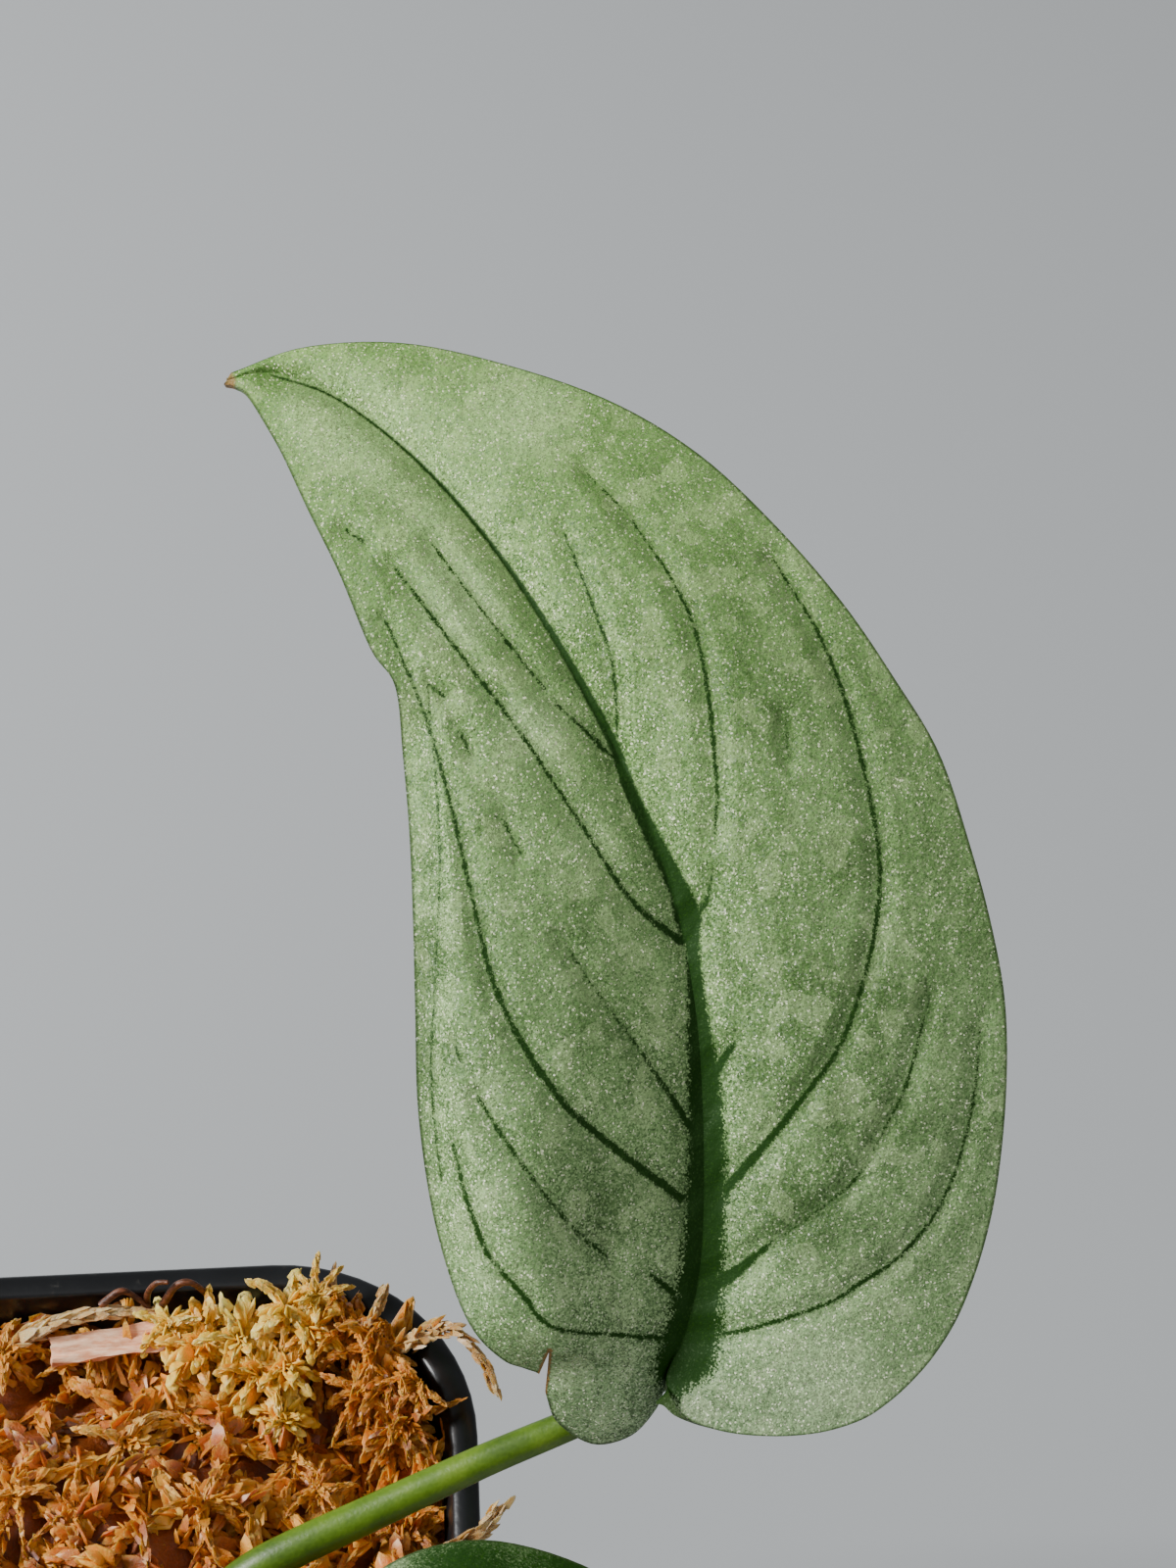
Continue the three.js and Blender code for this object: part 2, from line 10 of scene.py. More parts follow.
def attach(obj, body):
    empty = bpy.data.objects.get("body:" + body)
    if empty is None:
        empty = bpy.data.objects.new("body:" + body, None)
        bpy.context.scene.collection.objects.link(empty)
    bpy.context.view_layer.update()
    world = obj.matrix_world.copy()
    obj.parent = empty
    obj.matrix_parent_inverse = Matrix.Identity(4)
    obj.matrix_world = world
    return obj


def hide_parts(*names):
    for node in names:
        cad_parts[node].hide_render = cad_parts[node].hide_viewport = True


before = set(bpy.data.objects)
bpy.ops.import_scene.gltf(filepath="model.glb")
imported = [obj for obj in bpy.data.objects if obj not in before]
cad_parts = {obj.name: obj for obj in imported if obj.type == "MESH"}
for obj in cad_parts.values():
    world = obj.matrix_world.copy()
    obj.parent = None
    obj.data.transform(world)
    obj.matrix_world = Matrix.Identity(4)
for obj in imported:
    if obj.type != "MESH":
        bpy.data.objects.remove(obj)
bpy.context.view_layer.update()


# The plant is looked down on from in front, at the photograph's angle. It stands on a plain pale
# floor, with one soft light to the left and a wide weak one overhead.
MM = 0.001

EYE = (37.0, -94.4, 279.7)
LOOK_DOWN = 50
LOOK_ASIDE = -3
LENS = 67.5  # for a 36 mm frame along the picture's long side

camera = bpy.data.objects.new("camera", bpy.data.cameras.new("camera"))
camera.data.lens = LENS
camera.data.clip_start = 0.01
camera.location = Vector(EYE) * MM
camera.rotation_euler = (math.radians(90 - LOOK_DOWN), 0, math.radians(LOOK_ASIDE))
bpy.context.collection.objects.link(camera)
bpy.context.scene.camera = camera

LIT_POINT = Vector((40, 20, 95)) * MM
FLOOR_HALF = 2500


def soft_light(name, direction, distance, size, watts):
    light = bpy.data.objects.new(name, bpy.data.lights.new(name, "AREA"))
    light.data.size = size
    light.data.energy = watts
    towards = Vector(direction).normalized()
    light.location = LIT_POINT + towards * distance
    light.rotation_euler = towards.to_track_quat("Z", "Y").to_euler()
    bpy.context.collection.objects.link(light)


soft_light("light_left", (-0.8, 0.12, 0.5), distance=0.9, size=0.26, watts=15)
soft_light("light_overhead", (0.5, -0.5, 1.0), distance=1.2, size=1.2, watts=4)

sky = bpy.data.worlds.new("studio")
sky.use_nodes = True
sky.node_tree.nodes["Background"].inputs["Color"].default_value = (0.8, 0.82, 0.84, 1)
sky.node_tree.nodes["Background"].inputs["Strength"].default_value = 0.24
bpy.context.scene.world = sky


class Wire:
    """The output of a shader node. Sums on it add Math nodes."""

    def __init__(self, finish, socket):
        self.finish = finish
        self.socket = socket

    def math(self, operation, *values):
        return self.finish.node("Math", {"operation": operation}, dict(enumerate(values)))

    def __add__(self, other):
        return self.math("ADD", self, other)

    def __sub__(self, other):
        return self.math("SUBTRACT", self, other)

    def __rsub__(self, other):
        return self.math("SUBTRACT", other, self)

    def __mul__(self, other):
        return self.math("MULTIPLY", self, other)

    def step(self, low, high):
        """Rises smoothly from 0 at low to 1 at high, or falls where low is the larger."""
        ends = {"Value": self, "From Min": low, "From Max": high}
        return self.finish.node("MapRange", {"interpolation_type": "SMOOTHSTEP"}, ends)

    __radd__ = __add__


class Finish:
    """A material on one Principled shader. fixed holds what is the same all over the piece."""

    def __init__(self, name, fixed):
        self.material = bpy.data.materials.new(name)
        self.material.use_nodes = True
        self.tree = self.material.node_tree
        self.shader = self.tree.nodes["Principled BSDF"]
        for socket, value in fixed.items():
            self.shader.inputs[socket].default_value = value

    def node(self, kind, settings, sockets, output=0):
        node = self.tree.nodes.new("ShaderNode" + kind)
        for name, value in settings.items():
            if name == "stops":
                ramp = node.color_ramp.elements
                while len(ramp) < len(value):
                    ramp.new(1)
                for element, (position, colour) in zip(ramp, value):
                    element.position = position
                    element.color = colour
            else:
                setattr(node, name, value)
        for name, value in sockets.items():
            if isinstance(value, Wire):
                self.tree.links.new(value.socket, node.inputs[name])
            else:
                node.inputs[name].default_value = value
        return Wire(self, node.outputs[output])

    def place(self):
        return self.node("TexCoord", {}, {}, output="Object")

    def attribute(self, name):
        return self.node("Attribute", {"attribute_name": name}, {}, output="Fac")

    def cloud(self, place, size, detail=2, roughness=0.5):
        """Soft noise about 0.5, with lumps of about that size in mm."""
        sockets = {"Vector": place, "Scale": 1 / (size * MM), "Detail": detail, "Roughness": roughness}
        return self.node("TexNoise", {}, sockets)

    def mix(self, share, first, second):
        return self.node("Mix", {"data_type": "RGBA"}, {0: share, 6: first, 7: second}, output=2)

    def ramp(self, share, *stops):
        return self.node("ValToRGB", {"stops": stops}, {"Fac": share})

    def bump(self, height, deep, **normal):
        """deep is how far in mm a height of 1 stands out."""
        return self.node("Bump", {}, {"Height": height, "Distance": deep * MM, **normal})

    def feed(self, socket, wire):
        self.tree.links.new(wire.socket, self.shader.inputs[socket])


def shade(red, green, blue):
    """A colour by its screen values from 0 to 255, as a shader takes it."""
    screen = (c / 255 for c in (red, green, blue))
    return (*(c / 12.92 if c < 0.04 else ((c + 0.055) / 1.055) ** 2.4 for c in screen), 1)


def object_of(name, bm, *finishes, crease=40):
    mesh = bpy.data.meshes.new(name)
    bm.to_mesh(mesh)
    bm.free()
    mesh.shade_smooth()
    mesh.set_sharp_from_angle(angle=math.radians(crease))
    for finish in finishes:
        mesh.materials.append(finish.material)
    made = bpy.data.objects.new(name, mesh)
    bpy.context.collection.objects.link(made)
    return made


paper = Finish("floor_paper", {"Base Color": shade(170, 173, 175), "Roughness": 0.9})
bm = bmesh.new()
bmesh.ops.create_grid(bm, x_segments=1, y_segments=1, size=FLOOR_HALF * MM)
object_of("floor", bm, paper)


# The pot is a thin square nursery pot with round corners, moulded in black plastic. Its wall
# leans out to a stiffened band under the lip, and its floor has four drain holes.
POT_TOP = 68
POT_BASE = 50
POT_HEIGHT = 66
WALL = 1.2
FLOOR = 1.6
RIM_BAND = 8
RIM_PROUD = 1
CORNER_SHARE = 0.49
FOOT_BEVEL = 0.8
LIP_BEVEL = 0.5
DRAIN_HOLES = {"count": 4, "radius": 3.2, "out": 14}


def outer_half(z):
    return POT_BASE / 2 + (POT_TOP / 2 - RIM_PROUD - POT_BASE / 2) * z / POT_HEIGHT


def inner_half(z):
    return outer_half(min(z, POT_HEIGHT)) - WALL


def rounded_square(bm, segments):
    """A flat face 2 wide, round at its corners."""
    bmesh.ops.create_grid(bm, x_segments=1, y_segments=1, size=1)
    bmesh.ops.bevel(
        bm, geom=bm.verts[:], offset=CORNER_SHARE, affect="VERTICES",
        segments=segments, profile=0.5, material=-1,
    )
    return bm.faces[:][0]


def raised(bm, face, steps):
    """Carries a face 2 wide from one half width and height to the next, and leaves walls."""
    last = 1 / MM
    for count, (half, z) in enumerate(steps):
        if count > 0:
            below = face
            grown = bmesh.ops.extrude_face_region(bm, geom=[below])["geom"]
            face = next(part for part in grown if isinstance(part, bmesh.types.BMFace))
        if count > 1:
            bmesh.ops.delete(bm, geom=[below], context="FACES_ONLY")
        bmesh.ops.scale(bm, vec=(half / last, half / last, 0), verts=face.verts)
        bmesh.ops.translate(bm, vec=(0, 0, z * MM), verts=face.verts)
        last = half


def closed_outward(bm):
    bmesh.ops.recalc_face_normals(bm, faces=bm.faces[:])
    if bm.calc_volume(signed=True) < 0:
        bmesh.ops.reverse_faces(bm, faces=bm.faces[:])


def pot_profile():
    band = POT_HEIGHT - RIM_BAND
    shoulder = POT_HEIGHT - LIP_BEVEL
    steps = [(POT_BASE / 2 - FOOT_BEVEL, 0)]
    for k in range(1, 4):
        turn = math.pi / 2 * k / 3
        z = FOOT_BEVEL * (1 - math.cos(turn))
        steps.append((outer_half(z) - FOOT_BEVEL * (1 - math.sin(turn)), z))
    steps.append((outer_half(band - 0.6), band - 0.6))
    steps.append((outer_half(band) + 0.15, band - 0.05))
    steps.append((outer_half(band) + RIM_PROUD - 0.1, band + 0.3))
    steps.append((outer_half(band) + RIM_PROUD, band + 0.7))
    middle = (POT_TOP / 2 + inner_half(POT_HEIGHT)) / 2
    reach = POT_TOP / 2 - middle
    for k in range(9):
        turn = math.pi * k / 8
        steps.append((middle + reach * math.cos(turn), shoulder + LIP_BEVEL * math.sin(turn)))
    steps.append((inner_half(band), band))
    steps.append((inner_half(FLOOR + 1), FLOOR + 1))
    steps.append((inner_half(FLOOR) - 0.6, FLOOR))
    return steps


def applied(piece):
    """Fixes what a piece's modifiers do in its mesh."""
    graph = bpy.context.evaluated_depsgraph_get()
    mesh = bpy.data.meshes.new_from_object(piece.evaluated_get(graph))
    piece.modifiers.clear()
    piece.data = mesh


plastic = Finish("pot_plastic", {"Specular IOR Level": 0.5, "Coat Weight": 0.15, "Coat Roughness": 0.2})
place = plastic.place()
haze = plastic.cloud(place, 14, detail=4)
grain = plastic.cloud(place, 0.5, detail=3)
dust = plastic.cloud(place, 1.6, detail=6, roughness=0.7).step(0.6, 0.78)
black = plastic.mix(haze.step(0.3, 0.8), shade(14, 15, 17), shade(27, 29, 32))
plastic.feed("Base Color", plastic.mix(dust * 0.35, black, shade(96, 92, 84)))
plastic.feed("Roughness", 0.27 + haze * 0.14 + dust * 0.2)
plastic.feed("Normal", plastic.bump(grain, 0.02))

bm = bmesh.new()
raised(bm, rounded_square(bm, segments=14), pot_profile())
closed_outward(bm)
pot = object_of("pot_shell", bm, plastic, crease=50)

bm = bmesh.new()
for k in range(DRAIN_HOLES["count"]):
    turn = 2 * math.pi * k / DRAIN_HOLES["count"]
    out = DRAIN_HOLES["out"] * MM
    middle = Vector((out * math.cos(turn), out * math.sin(turn), FLOOR / 2 * MM))
    radius = DRAIN_HOLES["radius"] * MM
    bmesh.ops.create_cone(
        bm, cap_ends=True, segments=40, radius1=radius, radius2=radius, depth=4 * FLOOR * MM,
        matrix=Matrix.Translation(middle),
    )
drills = object_of("drills", bm)
cut = pot.modifiers.new("drain_holes", "BOOLEAN")
cut.object = drills
cut.operation = "DIFFERENCE"
applied(pot)
bpy.data.objects.remove(drills)

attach(pot, "root")
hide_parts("pot")


# The bed is dried long-fibre sphagnum moss, soaked and pressed into the pot. It is a springy mass
# of branches, each set all round with small pointed, hooded leaves, rust orange to brown.
MOSS_AT_WALL = 62.2
MOSS_CROWN = {"rise": 5, "inner": 8, "outer": 31}
MOSS_LUMPS = 0.8
# The mat's low tint and light values paint it dark, mostly in the moss finish's shadow colour: painted shade
# where it shows in the gaps between branches.
MOSS_MAT = {"cells": 80, "below": 1.7, "frayed": 0.9, "gap": 0.3, "tint": 0.15, "light": 0.12}
LEAFLET = {"wide": 0.42, "thick": 0.2}
BRANCH_KINDS = [
    {"length": 7, "leaves": 26, "size": 1.6, "lean": 0.26, "wide": 1.5, "bow": 1.1, "sides": 4, "often": 4},
    {"length": 6, "leaves": 24, "size": 1.7, "lean": 0.24, "wide": 1.7, "bow": 1.5, "sides": 4, "often": 4},
    {"length": 8, "leaves": 18, "size": 1.9, "lean": 0.4, "wide": 0.6, "bow": 1.3, "sides": 4, "often": 1},
    {"length": 6.5, "leaves": 24, "size": 1.3, "lean": 0.5, "wide": 1.0, "bow": 1.9, "sides": 4, "often": 3},
    {"length": 4.5, "leaves": 8, "size": 2.8, "lean": 0.5, "wide": 1.9, "bow": 1.2, "sides": 6, "often": 2},
    {"length": 5, "leaves": 15, "size": 2.0, "lean": 0.24, "wide": 1.9, "bow": 1.0, "sides": 6, "often": 2},
]
LEAF_SPIRAL = math.radians(137.5)
BED_BRANCHES = {"seed": 11, "rows": 34, "inset": 1.6, "swirl": 14}
MOSS_HEADS = {"rows": 8, "rays": 11, "length": 3.6, "proud": 1.2, "kinds": (0, 1, 3), "spiral": 2.4}
MOSS_CREASE = 75


def ease(low, high, value):
    """Rises smoothly from 0 at low to 1 at high, for one value or for an array of them."""
    share = np.clip((value - low) / (high - low), 0, 1)
    return share * share * (3 - 2 * share)


def moss_top(x, y):
    crown = MOSS_CROWN["rise"] * (1 - ease(MOSS_CROWN["inner"], MOSS_CROWN["outer"], math.hypot(x, y)))
    lumps = math.sin(0.42 * x + 1.3) * math.cos(0.37 * y - 0.6) + 0.6 * math.sin(0.9 * x - 0.7 * y)
    return MOSS_AT_WALL + crown + MOSS_LUMPS * lumps


def inside_pot(x, y, inset):
    """Keeps a place inside the pot's rounded square, that far from its wall."""
    half = inner_half(POT_HEIGHT) - inset
    radius = half * CORNER_SHARE
    flat = half - radius
    corner = Vector((max(abs(x) - flat, 0), max(abs(y) - flat, 0)))
    if corner.length > radius:
        corner = corner.normalized() * radius
    x = math.copysign(min(abs(x), flat) + corner.x, x)
    y = math.copysign(min(abs(y), flat) + corner.y, y)
    return x, y


def pressed_in(bm):
    """Presses whatever moss lies below the rim back inside the pot's wall."""
    for vert in bm.verts:
        x, y, z = vert.co / MM
        if z < POT_HEIGHT + MOSS_MAT["gap"]:
            inset = inner_half(POT_HEIGHT) - inner_half(z) + MOSS_MAT["gap"]
            vert.co.xy = Vector(inside_pot(x, y, inset)) * MM


def moss_mesh():
    """A bmesh whose points hold, for the finish, their shade and their height along a leaf."""
    bm = bmesh.new()
    bm.verts.layers.float.new("tint")
    bm.verts.layers.float.new("light")
    return bm


def moss_mat():
    """The matted body of the bed, closed, down to the pot's floor, with a frayed top."""
    bm = moss_mesh()
    half = inner_half(MOSS_AT_WALL) - MOSS_MAT["gap"]
    inset = inner_half(POT_HEIGHT) - half
    cells = MOSS_MAT["cells"]
    bmesh.ops.create_grid(bm, x_segments=cells, y_segments=cells, size=half)
    outside = []
    for face in bm.faces:
        x, y = face.calc_center_median()[:2]
        if math.dist((x, y), inside_pot(x, y, inset)) > 0.3 * half / cells:
            outside.append(face)
    bmesh.ops.delete(bm, geom=outside, context="FACES")
    for vert in bm.verts:
        x, y = inside_pot(vert.co.x, vert.co.y, inset)
        frayed = noise.fractal(Vector((x, y, 3)) * 0.55, 0.9, 2.1, 5)
        z = moss_top(x, y) - MOSS_MAT["below"] + MOSS_MAT["frayed"] * frayed
        vert.co = Vector((x, y, z)) * MM
    grown = bmesh.ops.extrude_face_region(bm, geom=bm.faces[:])["geom"]
    foot = FLOOR + MOSS_MAT["gap"]
    narrow = (inner_half(foot) - MOSS_MAT["gap"]) / half
    for part in grown:
        if isinstance(part, bmesh.types.BMVert):
            part.co = Vector((part.co.x * narrow, part.co.y * narrow, foot * MM))
    under = [part for part in grown if isinstance(part, bmesh.types.BMFace)]
    bmesh.ops.dissolve_faces(bm, faces=under)
    # Painted shade: these values put the mat mostly in the shadow colour.
    for vert in bm.verts:
        for name in ("tint", "light"):
            vert[bm.verts.layers.float[name]] = MOSS_MAT[name]
    closed_outward(bm)
    return bm


def pattern_of(bm):
    """A mesh to copy many times, with the shade and height of each of its points."""
    kinds = [bm.verts.layers.float[name] for name in ("tint", "light")]
    tints, lights = ([vert[kind] for vert in bm.verts] for kind in kinds)
    mesh = bpy.data.meshes.new("pattern")
    bm.to_mesh(mesh)
    bm.free()
    return mesh, tints, lights


def add_copy(bm, pattern, matrix, tint):
    mesh, tints, lights = pattern
    start = len(bm.verts)
    bm.from_mesh(mesh)
    bm.verts.ensure_lookup_table()
    tint_layer = bm.verts.layers.float["tint"]
    light_layer = bm.verts.layers.float["light"]
    for vert, own_tint, own_light in zip(bm.verts[start:], tints, lights):
        vert[tint_layer] = tint + own_tint
        vert[light_layer] = own_light
        vert.co = matrix @ vert.co


def leaflet_pattern(sides):
    """One moss leaf, 1 long from its foot at the origin along Z, hooded and pointed."""
    bm = moss_mesh()
    bmesh.ops.create_uvsphere(bm, u_segments=sides, v_segments=3, radius=0.5)
    for vert in bm.verts:
        along = vert.co.z + 0.5
        across = vert.co.x * (1.35 - 0.7 * along)
        hood = 2 * across * across - 0.8 * along * along
        vert.co = Vector((across, vert.co.y * 0.8 + hood, along))
        vert[bm.verts.layers.float["light"]] = along
    return pattern_of(bm)


leaflets = {sides: leaflet_pattern(sides) for sides in (4, 6)}


def between(a, b, c, d, t):
    """The place at share t from b to c on the smooth curve that also passes a and d."""
    return 0.5 * (2 * b + (c - a) * t + (2 * a - 5 * b + 4 * c - d) * t**2 + (3 * b - a - 3 * c + d) * t**3)


def smooth_path(points, share):
    """A point on the smooth curve through the points, with share from 0 to 1 along them."""
    last = len(points) - 1
    at = min(max(share, 0), 1) * last
    k = min(int(at), last - 1)
    t = at - k
    b, c = Vector(points[k]), Vector(points[k + 1])
    a = Vector(points[k - 1]) if k > 0 else 2 * b - c
    d = Vector(points[k + 2]) if k + 2 <= last else 2 * c - b
    return between(a, b, c, d, t)


def leafy_path(bm, chance, points, leaves, size, lean, wide, tint, sides=4):
    """Moss leaves set spirally round a path in mm. Each leans out from it, less so at its end."""
    twist = chance.uniform(0, 2 * math.pi)
    for k in range(leaves):
        share = (k + 0.5) / leaves
        foot = smooth_path(points, share)
        along = (smooth_path(points, share + 0.02) - smooth_path(points, share - 0.02)).normalized()
        side = along.orthogonal().normalized()
        twist += LEAF_SPIRAL
        out = side * math.cos(twist) + along.cross(side) * math.sin(twist)
        tilt = lean * (1.3 - 0.9 * share) + chance.uniform(-0.16, 0.24)
        tip = (along * math.cos(tilt) + out * math.sin(tilt)).normalized()
        back = (out * math.cos(tilt) - along * math.sin(tilt)).normalized()
        length = size * chance.uniform(0.75, 1.25) * (1.15 - 0.45 * share)
        across = back.cross(tip) * length * LEAFLET["wide"] * wide * chance.uniform(0.8, 1.25)
        turn = Matrix((across, back * length * LEAFLET["thick"], tip * length)).transposed()
        matrix = Matrix.Translation(foot * MM) @ (turn * MM).to_4x4()
        add_copy(bm, leaflets[sides], matrix, tint + chance.uniform(-0.13, 0.13))


def branch_pattern(chance, kind):
    """A branch of moss from the origin along Z, bowing over towards X."""
    bow, length = kind["bow"], kind["length"]
    points = []
    for share in (0, 1 / 3, 2 / 3, 1):
        turn = bow * share
        points.append((length / bow * (1 - math.cos(turn)), 0, length / bow * math.sin(turn)))
    bm = moss_mesh()
    leafy_path(
        bm, chance, points, kind["leaves"], kind["size"], kind["lean"], kind["wide"], tint=0,
        sides=kind["sides"],
    )
    return pattern_of(bm)


def lay_branch(bm, chance, kind, foot, heading, pitch, scale, tint, inset):
    """Lays a branch from a place in mm. It bows down, and turns off where the pot's wall is near."""
    level = math.cos(pitch)
    way = Vector((math.cos(heading) * level, math.sin(heading) * level, math.sin(pitch)))
    tip = foot + way * scale * BRANCH_KINDS[kind]["length"]
    tip.x, tip.y = inside_pot(tip.x, tip.y, inset)
    way = (tip - foot).normalized()
    down = Vector((chance.uniform(-0.5, 0.5), chance.uniform(-0.5, 0.5), -1))
    bow = (down - way * down.dot(way)).normalized()
    turn = Matrix((bow, way.cross(bow), way)).transposed() * scale
    add_copy(bm, branches[kind], Matrix.Translation(foot * MM) @ turn.to_4x4(), tint)


def lay_head(bm, chance, kinds, heart, rays, scale, tint, inset):
    """A star of short branches, as at the top of a moss plant."""
    start = chance.uniform(0, 2 * math.pi)
    for k in range(rays):
        heading = start + MOSS_HEADS["spiral"] * k + chance.uniform(-0.25, 0.25)
        pitch = 1.35 - 1.25 * math.sqrt((k + 0.5) / rays) + chance.uniform(-0.2, 0.2)
        reach = scale * chance.uniform(0.75, 1.15)
        shade_of_ray = tint + chance.uniform(-0.08, 0.08)
        lay_branch(bm, chance, chance.choice(kinds), heart, heading, pitch, reach, shade_of_ray, inset)


def moss_clump(heads, clump):
    """Heads at given places and scales, in mm. Each has its own shade within the clump's range."""
    chance = random.Random(clump["seed"])
    bm = moss_mesh()
    for x, y, z, scale in heads:
        tint = chance.uniform(*clump["tint"])
        heart = Vector((x, y, z))
        lay_head(bm, chance, clump["kinds"], heart, clump["rays"], scale, tint, clump["inset"])
    pressed_in(bm)
    return bm


def moss_finish(name, stops, shadow, tip):
    """stops are its shades, shadow is the painted shade at a leaf's foot, for the dark gaps between leaves,
    and tip the colour at its tip.
    """
    moss = Finish(name, {
        "Specular IOR Level": 0.5, "Coat Weight": 0.25, "Coat Roughness": 0.28,
        "Subsurface Weight": 0.45, "Subsurface Radius": (1.0, 0.5, 0.2), "Subsurface Scale": 1.2 * MM,
    })
    place = moss.place()
    patches = moss.cloud(place, 8, detail=3)
    fibres = moss.cloud(place, 0.3, detail=4, roughness=0.65)
    tint = moss.attribute("tint") + (patches - 0.5) * 1.1 + (fibres - 0.5) * 0.35
    light = moss.attribute("light")
    colour = moss.ramp(tint, *stops)
    # Painted shade: near its foot each leaf is mixed towards the shadow colour, for the dark gaps between
    # leaves.
    colour = moss.mix(light.step(0.35, 0.0) * 0.75, colour, shadow)
    moss.feed("Base Color", moss.mix(light.step(0.6, 1) * 0.45, colour, tip))
    moss.feed("Roughness", 0.3 + fibres * 0.35)
    moss.feed("Normal", moss.bump(fibres, 0.14))
    return moss


rust = moss_finish("moss_rust", (
    (0.05, shade(96, 44, 6)),
    (0.3, shade(184, 92, 16)),
    (0.52, shade(236, 140, 32)),
    (0.76, shade(250, 172, 58)),
    (1.0, shade(254, 202, 106)),
), shadow=shade(132, 62, 6), tip=shade(252, 192, 98))

mat = object_of("moss_bed_mat", moss_mat(), rust, crease=MOSS_CREASE)
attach(mat, "root")
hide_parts("moss_bed")

chance = random.Random(BED_BRANCHES["seed"])
branches = [branch_pattern(chance, kind) for kind in BRANCH_KINDS]
often = [kind["often"] for kind in BRANCH_KINDS]
quarters = {"back_left": (-1, 1), "back_right": (1, 1), "front_left": (-1, -1), "front_right": (1, -1)}
for quarter, (aside, ahead) in quarters.items():
    bm = moss_mesh()
    rows = BED_BRANCHES["rows"] // 2
    step = inner_half(MOSS_AT_WALL) / rows
    for k in range(rows**2):
        x = aside * step * (k % rows + chance.random())
        y = ahead * step * (k // rows + chance.random())
        x, y = inside_pot(x, y, BED_BRANCHES["inset"])
        foot = Vector((x, y, moss_top(x, y) - chance.uniform(0.4, 1.4)))
        swirl = noise.noise(Vector((x, y, 0)) / BED_BRANCHES["swirl"])
        heading = 2 * math.pi * swirl * 1.6 + chance.uniform(-0.9, 0.9)
        pitch = chance.uniform(0.0, 0.75)
        kind = chance.choices(range(len(BRANCH_KINDS)), weights=often)[0]
        tint = 0.5 + chance.uniform(-0.2, 0.22)
        scale = chance.uniform(0.8, 1.25)
        lay_branch(bm, chance, kind, foot, heading, pitch, scale, tint, BED_BRANCHES["inset"])
    rows = MOSS_HEADS["rows"] // 2
    step = inner_half(MOSS_AT_WALL) / rows
    for k in range(rows**2):
        x = aside * step * (k % rows + chance.uniform(0.15, 0.85))
        y = ahead * step * (k // rows + chance.uniform(0.15, 0.85))
        x, y = inside_pot(x, y, 2.5 * BED_BRANCHES["inset"])
        heart = Vector((x, y, moss_top(x, y) + chance.uniform(-0.6, MOSS_HEADS["proud"])))
        scale = MOSS_HEADS["length"] / BRANCH_KINDS[1]["length"] * chance.uniform(0.8, 1.3)
        tint = 0.62 + chance.uniform(-0.14, 0.2)
        kinds, rays = MOSS_HEADS["kinds"], MOSS_HEADS["rays"]
        lay_head(bm, chance, kinds, heart, rays, scale, tint, BED_BRANCHES["inset"])
    pressed_in(bm)
    bed = object_of("moss_bed_" + quarter, bm, rust, crease=MOSS_CREASE)
    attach(bed, "root")
    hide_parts("moss_bed")


# A tuft of the same rusty moss stands up in the back right corner. Its heads crowd together there
# and hide the pot's wall up to the rim.
CORNER_HEADS = [
    (23.4, 26.8, 66.2, 0.65), (25.6, 25.2, 66.6, 0.7), (27.4, 22.4, 66.4, 0.7), (28.2, 18.6, 65.8, 0.65),
    (24.6, 21.8, 65.8, 0.6), (22.8, 29.8, 67.6, 0.45), (26.9, 26.8, 67.8, 0.5), (29.4, 21.4, 67.4, 0.5),
]
CORNER = {"seed": 11, "rays": 11, "inset": 1.6, "kinds": (0, 1, 3), "tint": (0.36, 0.71)}

tuft = object_of("moss_bed_corner_tuft", moss_clump(CORNER_HEADS, CORNER), rust, crease=MOSS_CREASE)
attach(tuft, "root")
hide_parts("moss_bed")


# A clump of younger, golden moss lies at the back of the pot. Its heads are stars of plump
# branches that overlap each other.
GOLDEN_HEADS = [
    (8.9, 28.6, 65.6, 0.6), (11.7, 26.7, 65.4, 0.7), (14.9, 26.9, 66.2, 0.75), (16.5, 23.7, 65.6, 0.75),
    (18.8, 28.4, 67.8, 0.6), (21.2, 29.3, 68.4, 0.5), (20.6, 26.8, 67.2, 0.6), (18.7, 24.0, 65.9, 0.6),
    (18.4, 19.9, 65.0, 0.5),
]
GOLDEN = {"seed": 5, "rays": 13, "inset": 0.9, "kinds": (1, 4, 5, 5), "tint": (0.45, 0.85)}

gold = moss_finish("moss_gold", (
    (0.1, shade(236, 132, 14)),
    (0.35, shade(255, 176, 40)),
    (0.6, shade(255, 204, 76)),
    (1.0, shade(255, 226, 136)),
), shadow=shade(238, 150, 24), tip=shade(255, 226, 132))

golden = object_of("moss_golden_heads", moss_clump(GOLDEN_HEADS, GOLDEN), gold, crease=MOSS_CREASE)
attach(golden, "root")
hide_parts("moss_golden")


# Loose strands of straw-coloured moss stand out over the rim: an arch, a bud and some tufts. A
# pale wisp lies along the back wall.
LOOSE_STRANDS = [
    [(25, 25, 63), (29, 24.8, 68.6), (32.2, 23.9, 71.6), (34.6, 21.6, 70.6), (35.4, 20.2, 68.8)],
    [(26, 4, 62), (30.6, 6, 67.6), (33.8, 7.6, 68.2), (35.6, 9.4, 68.6)],
    [(24.5, 25.5, 62), (25.2, 26.4, 66.8), (26.6, 28, 70.4)],
    [(22, 26, 62), (22, 27.8, 66.5), (22.8, 30.6, 68.8)],
    [(-4, 28.0, 65.0), (-0.5, 29.0, 66.2), (3.9, 29.7, 66.4), (7.6, 29.9, 65.8)],
]
LOOSE = {"seed": 3, "bunch": 3, "leaves": 34, "size": 1.7, "lean": 0.4, "wide": 0.9, "tint": 0.5}

straw = moss_finish("moss_straw", (
    (0.1, shade(150, 96, 40)),
    (0.4, shade(206, 148, 84)),
    (0.7, shade(232, 186, 124)),
    (1.0, shade(248, 220, 170)),
), shadow=shade(136, 84, 34), tip=shade(248, 220, 174))

